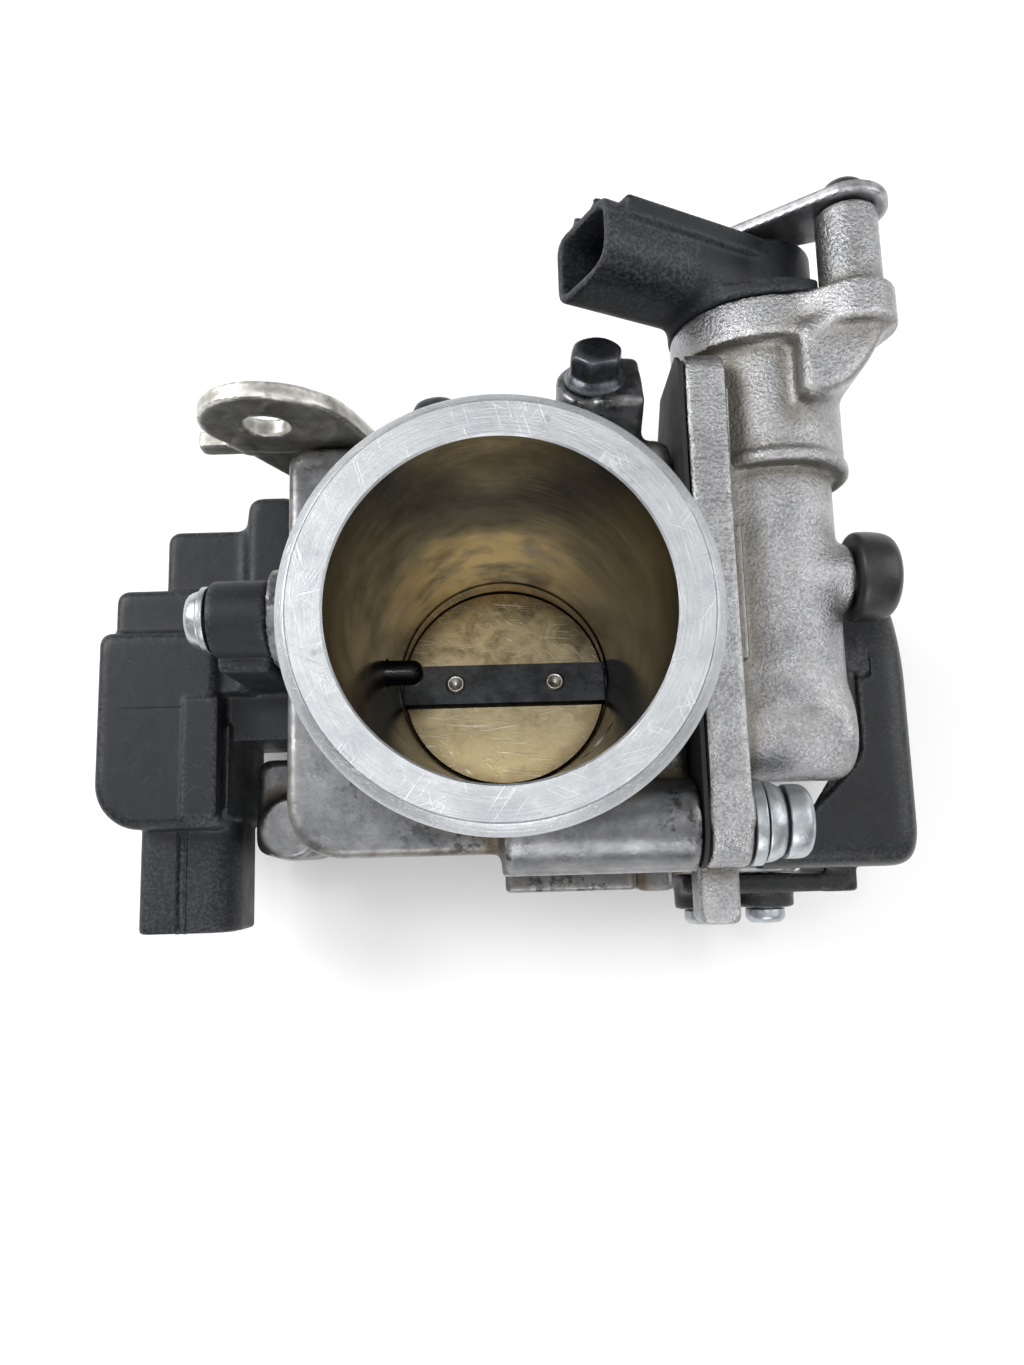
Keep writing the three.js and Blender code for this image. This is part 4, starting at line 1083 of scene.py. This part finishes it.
def flange_bolt(top, shank, turn, origin):
    """A bolt with its seat at its own z = 0, carried to its place."""
    head = Body(0.24)
    radius = 8 / math.sqrt(3)
    points = [(radius * math.cos(k * math.pi / 3 + 0.3), radius * math.sin(k * math.pi / 3 + 0.3))
              for k in range(6)]
    crown = rod("z", 4.7, 1.0, top, edge=2.2)
    head.add(placed(prism("z", points, 1.0, top, 0.5, 0.4), turn, origin))
    head.steps.append((negated(placed(crown, turn, origin)), 0.3, True))
    head.add(placed(rod("z", 5.4, 0.3, 1.9, edge=0.5, end_radius=4.5), turn, origin), fillet=0.7)
    mesh = Mesh().cast(head)
    mesh.turn("z", [(0, -shank), (2.6, -shank, 0.4), (2.8, 0.4), (0, 0.4)], segments=32,
              turn=turn, origin=origin)
    return mesh


def negated(shape):
    """The outside of a shape, so that cutting with it keeps only what is inside."""
    field, low, high = shape
    return (lambda p: -field(p)), low - 3, high + 3


def bracket_side():
    bracket()
    for i, (x, z) in enumerate(BRACKET_BOLTS):
        turn = about_x(-math.pi / 2)
        mesh = flange_bolt(6.6, 12, turn, (x, BRACKET_Y[1], z))
        piece(f"bracket_bolt_{i + 1}", mesh, [black_steel])
    for i, seat in enumerate(PLUG_SEATS):
        mesh = flange_bolt(PLUG_HEADS[i], 9.5, plug_turn(), seat)
        piece(f"plug_bolt_{i + 1}", mesh, [black_steel])


# ------------------------------------------------------------------ idle-air valve
def idle_air_housing():
    x, z = VALVE
    body = Body(0.56)
    face = [(-29, 45), (46.5, 44.4), (49, 42), (49, 24), (40, 16), (20, 16), (-24, 21), (-35.5, 33)]
    body.add(prism("x", face, 31.3, 38, 1.0, 0.9))
    body.add(rod("x", 7, 31.3, 38, LOWER_SCREW, 0.9), rod("x", 6.5, 31.3, 38, UPPER_SCREW, 0.9),
             prism("x", [(20, 17), (40, 17), (36.5, 9), (23.6, 9)], 31.3, 38), fillet=1.2)
    body.add(prism("z", [(31.5, -45.5), (38.4, -45.5), (38.4, -20), (31.5, -20)], 22, 30, 1.8, 1.2))
    body.add(rod("y", 13, 31, 52, (x, z)), rod("y", 10.5, -11, 32, (x, z), 1.2), fillet=0.8)
    body.add(rod("y", 13.6, 30, 32.2, (x, z), 0.8), fillet=0.7)
    body.add(rod("y", 9.4, -13, -8, (x, z), 1.5), fillet=1.5)
    body.add(rod("x", 7.8, 37, 58.2, (PORT_IN[0], PORT_IN[1] + 1.5), 4.0), fillet=2.2)
    body.add(block(37, 48, -14, 50, z - 8, z + 9, 1.0), fillet=1.5)
    body.add(rod("y", 16, 51, CUP_TOP, (x, z), 0.6), fillet=1.2)
    lug = [(41, 24), (61, 24), (64, 36), (60.5, 42.7), (41, 42.7)]
    body.add(prism("y", lug, 51, CUP_TOP, 2.0, 0.9), fillet=0.7)
    body.add(strap("y", POST, 6.8, (50, 36), 6.5, 51, CUP_TOP, 0.9), fillet=1.2)
    gusset = [(50, 52), (65, 52), (64, 48.5), (57.5, 40.5), (50, 39)]
    body.add(prism("z", gusset, 36, 47, 2.5, 2.0), fillet=2.2)
    body.add(rod("y", 5.2, 56, MOTOR_TOP + 0.3, POST, 0.6), fillet=1.0)
    body.add(rod("x", 5.6, 50, 59, NIPPLE, 0.8), fillet=2.0)
    body.add(strap("z", (39.3, -2), 0.9, (39.3, 19), 0.9, 30, 39.6, 0.5), fillet=0.5)
    body.cut(rod("x", 3.0, 55, 70, NIPPLE, 0.3))
    mesh = Mesh().cast(body)
    mesh.wire([(38.25, 42, 43.2), (38.35, 20, 40.5), (38.35, 0, 40.2), (38.25, -12, 40.0)],
              0.22, sides=8)
    piece("idle_air_housing", mesh, [bright_cast])


def connector_frame():
    out = np.array([math.cos(CONNECTOR_LEAN), 0, math.sin(CONNECTOR_LEAN)])
    up = np.array([0.0, 1.0, 0.0])
    return np.array([np.cross(out, up), out, up]).T, (VALVE[0], CONNECTOR_Y, VALVE[1])


def idle_air_motor():
    turn, at = connector_frame()
    x, z = VALVE
    body = Body(0.5)
    body.add(rod("y", 16.3, CUP_TOP + 0.3, 61, (x, z), 0.7))
    body.add(rod("y", 9.8, 60, MOTOR_TOP, (x, z), 1.2), fillet=1.2)
    shroud = [(-8, -4.0), (-5.6, -6.2), (8, -6.2), (8, 6.2), (-8, 6.2)]
    body.add(placed(prism("y", shroud, 2, 37.6, 3.2, 0.6), turn, at), fillet=2.0)
    body.add(placed(prism("y", [(-8.8, 2.6), (-6, 2.6), (-6, 6.6), (-8.8, 6.6)], 5, 34, 0.8, 0.8),
                    turn, at), fillet=0.5)
    body.add(placed(block(7.4, 9, 29, 36.5, -2.5, 2.5, 0.5), turn, at), fillet=0.6)
    body.add(placed(block(-4.5, -3.4, 33, 37.4, 5.8, 7.4, 0.4), turn, at),
             placed(block(1.4, 2.5, 33, 37.4, 5.8, 7.4, 0.4), turn, at), fillet=0.5)
    hollow = [(-6.5, -3.2), (-4.8, -4.7), (6.5, -4.7), (6.5, 4.7), (-6.5, 4.7)]
    body.cut(placed(prism("y", hollow, 20, 60, 2.2, 0.5), turn, at), fillet=0.6)
    body.cut(rod("y", 5.6, CUP_TOP, MOTOR_TOP + 3, POST))
    mesh = Mesh().cast(body)
    barrel = [(0, 40), (7.4, 40, 0.5), (7.4, 52.6), (6.4, 52.6), (6.4, 55.4), (7.4, 55.4),
              (7.4, 59), (0, 59)]
    mesh.turn("y", barrel, VALVE)
    piece("idle_air_motor", mesh, [sensor_plastic])


def idle_air_side():
    idle_air_housing()
    idle_air_motor()
    low = MOTOR_TOP + 0.6
    plate = Body(0.34)
    plate.add(strap("y", POST, 7, (43, 34.5), 3.6, low, low + 2, 0.45))
    piece("set_plate", Mesh().cast(plate), [dark_steel])
    head = low + 2.3
    dome = [(0, 62), (2, 62), (2, head), (4.2, head, 0.2), (4.2, head + 1.0, 0.4),
            (3.4, head + 2.8, 1.2),
            (1.6, head + 3.7, 0.8), (1.1, head + 3.75), (0.9, head + 2.9), (0, head + 2.8)]
    piece("set_plate_screw", Mesh().turn("y", dome, POST, segments=64), [black_steel])
    turned = {
        "housing_washer": [(3, 38.3), (6.9, 38.3, 0.3), (6.9, 40.2, 0.3), (3, 40.2)],
        "housing_dished_washer": [(3, 40.5), (6.5, 40.5, 0.3), (6.3, 42, 0.6), (5.4, 43.6, 0.5),
                                  (3, 43.6)],
        "housing_screw_lower": [(0, 8), (2.6, 8), (2.6, 43.9), (5.9, 43.9, 0.3), (5.9, 47.1, 1.2),
                                (4.6, 48, 0.5), (3.0, 47.95, 0.2), (2.5, 46.6), (0, 46.4)],
    }
    for node, profile in turned.items():
        piece(node, Mesh().turn("x", profile, LOWER_SCREW, segments=72), [zinc])
    upper = [(0, 24), (2.2, 24), (2.2, 38.3), (5, 38.3, 0.3), (5, 41.2, 0.8), (4, 42.3, 0.5),
             (2.4, 42.25, 0.2), (2, 41), (0, 40.9)]
    piece("housing_screw_upper", Mesh().turn("x", upper, UPPER_SCREW, segments=72), [zinc])
    tube = [(1.9, 53), (3.2, 53), (3.2, 62.5, 0.2), (3.45, 63.2, 0.3), (3.2, 64.2, 0.3),
            (1.9, 64.2)]
    piece("port_nipple", Mesh().turn("x", tube, NIPPLE), [steel])
    cap = [(3.5, 65), (3.5, 59.4, 0.4), (7.2, 59.4, 0.6), (7.7, 60.2, 0.6), (7.7, 63.2, 2.0),
           (7.1, 65.9, 1.5),
           (5.2, 67.0, 1.2), (0, 67.2), (0, 65)]
    piece("port_cap", Mesh().turn("x", cap, NIPPLE, segments=96), [rubber])
    pintle = [(0, 12.5), (1.2, 13, 0.4), (4.4, 22, 0.6), (4.4, 25, 0.3), (2.6, 27, 0.4),
              (2.6, 48, 0.3), (0, 48)]
    piece("idle_valve_pintle", Mesh().turn("y", pintle, VALVE), [steel], "idle_valve")


# ------------------------------------------------------------------ drum cover
def drum_cover():
    body = Body(0.62)
    outer = [(-37, -16), (-37, 20), (5, 20), (21, 9.5), (28, -6), (28, -18), (4, -21), (-20, -20)]
    inner = [(-35, -60), (-35, 18), (4.3, 18), (19.5, 8), (26, -6.6), (26, -60)]
    body.add(prism("x", outer, 40, 73.9, 5, 5.5))
    body.cut(prism("x", inner, 30, 72, 3.5, 4.0), fillet=0.4)
    room = [(30, -31), (45, -31), (52, -30), (59.5, -19), (59.5, 50), (30, 50)]
    body.cut(prism("z", room, -60, 60, 2, 0.5))
    body.cut(block(20, 60, -70, 70, -60, 12, 0.3), block(20, 45, -70, 70, -60, 60, 0.3), fillet=0.6)
    ledge = [(30, 40), (64, 40), (64, -17.5), (52.5, -28.6), (30, -28.6)]
    body.cut(prism("z", ledge, 18.9, 40, 2.5, 0.5), fillet=0.5)
    body.cut(strap("z", (65.4, -2), 1.2, (65.4, 7), 1.2, 19.2, 30, 0.4), fillet=0.4)
    body.add(rod("x", 4.6, 57.8, 73, COVER_BOSS))
    body.add(prism("y", [(33, -12), (66, -12), (66, 6), (33, 6)], -41.6, -38.1, 3, 0.9))
    body.add(*[rod("y", 5.6, -44.6, -40, (x, -3), 0.8) for x in FOOT_SCREWS_X], fillet=0.8)
    body.add(prism("x", [(-41, -11.4), (-36, -11.4), (-36, 5.4), (-41, 5.4)], 60.4, 65.4))
    body.cut(rod("x", 4, 71.6, 80, COVER_BOSS, 0.3))
    piece("drum_cover", Mesh().cast(body), [cover_plastic])


def drum_side():
    drum_cover()
    side = [(0, 49), (1.8, 49), (1.8, 71.9), (3.6, 71.9, 0.2), (3.6, 73.2, 0.5), (2.9, 73.9, 0.3),
            (1.2, 73.85), (1.0, 72.9), (0, 72.8)]
    piece("cover_screw_side", Mesh().turn("x", side, COVER_BOSS), [zinc])
    for i, x in enumerate(FOOT_SCREWS_X):
        foot = [(0, -46.6), (1.0, -46.7), (1.2, -47.55), (2.9, -47.6, 0.5), (3.8, -46.6, 0.4),
                (3.8, -44.9, 0.2), (1.8, -44.9), (1.8, -35), (0, -35)]
        piece(f"cover_screw_foot_{i + 1}", Mesh().turn("y", foot, (x, -3)), [zinc])
    stop = [(0, -28.5), (3.4, -28.5, 0.4), (3.4, -25.5, 0.4), (2, -25.5), (2, -5.8, 0.3),
            (1.4, -4.6, 0.3), (0, -4.6)]
    piece("idle_stop_screw", Mesh().turn("z", stop, STOP_SCREW), [zinc])


# ------------------------------------------------------------------ CAD nodes that stay
KEPT = {
    "shaft_bush_left": bronze, "shaft_bush_right": bronze,
    "shaft_seal_left": rubber, "shaft_seal_right": rubber,
    "sensor_rotor": gloss_plastic, "sensor_o_ring": rubber, "sensor_terminals": tin,
    "idle_air_gasket": gasket, "motor_o_ring": rubber, "idle_air_terminals": tin,
}


def kept_nodes():
    for name, look in KEPT.items():
        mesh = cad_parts[name].data
        mesh.materials.clear()
        mesh.materials.append(look)


# ------------------------------------------------------------------ stage
def studio():
    bpy.ops.mesh.primitive_plane_add(size=FLOOR_SIZE, location=(0, 0, -0.0004))
    floor = bpy.context.object
    floor.name = "floor"
    paper = bpy.data.materials.new("paper")
    paper.use_nodes = True
    shader = paper.node_tree.nodes["Principled BSDF"]
    settle(shader, {"Base Color": (FLOOR_TONE, FLOOR_TONE, FLOOR_TONE, 1), "Roughness": 0.9})
    floor.data.materials.append(paper)

    world = bpy.data.worlds.new("studio")
    bpy.context.scene.world = world
    world.use_nodes = True
    nodes, links = world.node_tree.nodes, world.node_tree.links
    sky = nodes.new("ShaderNodeTexCoord")
    parts = nodes.new("ShaderNodeSeparateXYZ")
    level = nodes.new("ShaderNodeMapRange")
    links.new(sky.outputs["Generated"], parts.inputs[0])
    links.new(parts.outputs["Z"], level.inputs["Value"])
    settle(level, {"From Min": ZENITH_SPREAD[0], "From Max": ZENITH_SPREAD[1],
                   "To Min": HORIZON_LIGHT, "To Max": ZENITH_LIGHT})
    links.new(level.outputs["Result"], nodes["Background"].inputs["Strength"])
    nodes["Background"].inputs["Color"].default_value = (1, 1, 1, 1)

    for name, place, size, power in LIGHTS:
        light = bpy.data.lights.new(name, "AREA")
        light.size = size
        light.energy = power
        lamp = bpy.data.objects.new(name, light)
        bpy.context.scene.collection.objects.link(lamp)
        lamp.location = place
        aim = Vector(LIGHT_AIM) - Vector(place)
        lamp.rotation_euler = aim.to_track_quat("-Z", "Y").to_euler()
    bpy.context.scene.view_settings.view_transform = "Standard"


def camera():
    back = Vector((
        math.sin(AZIMUTH) * math.cos(ELEVATION),
        -math.cos(AZIMUTH) * math.cos(ELEVATION),
        math.sin(ELEVATION),
    ))
    right = Vector((math.cos(AZIMUTH), math.sin(AZIMUTH), 0))
    up = back.cross(right)
    data = bpy.data.cameras.new("camera")
    data.sensor_width = SENSOR
    data.lens = LENS
    data.clip_start = 0.01
    made = bpy.data.objects.new("camera", data)
    bpy.context.scene.collection.objects.link(made)
    place = ORIGIN + (back * DISTANCE + right * ASIDE + up * ABOVE) * MM
    turn = Matrix((right, up, back)).transposed().to_4x4()
    made.matrix_world = Matrix.Translation(place) @ turn
    bpy.context.scene.camera = made


camera()
studio()
main_body()
duct_tube()
throttle()
springs()
sensor_side()
bracket_side()
idle_air_side()
drum_side()
kept_nodes()
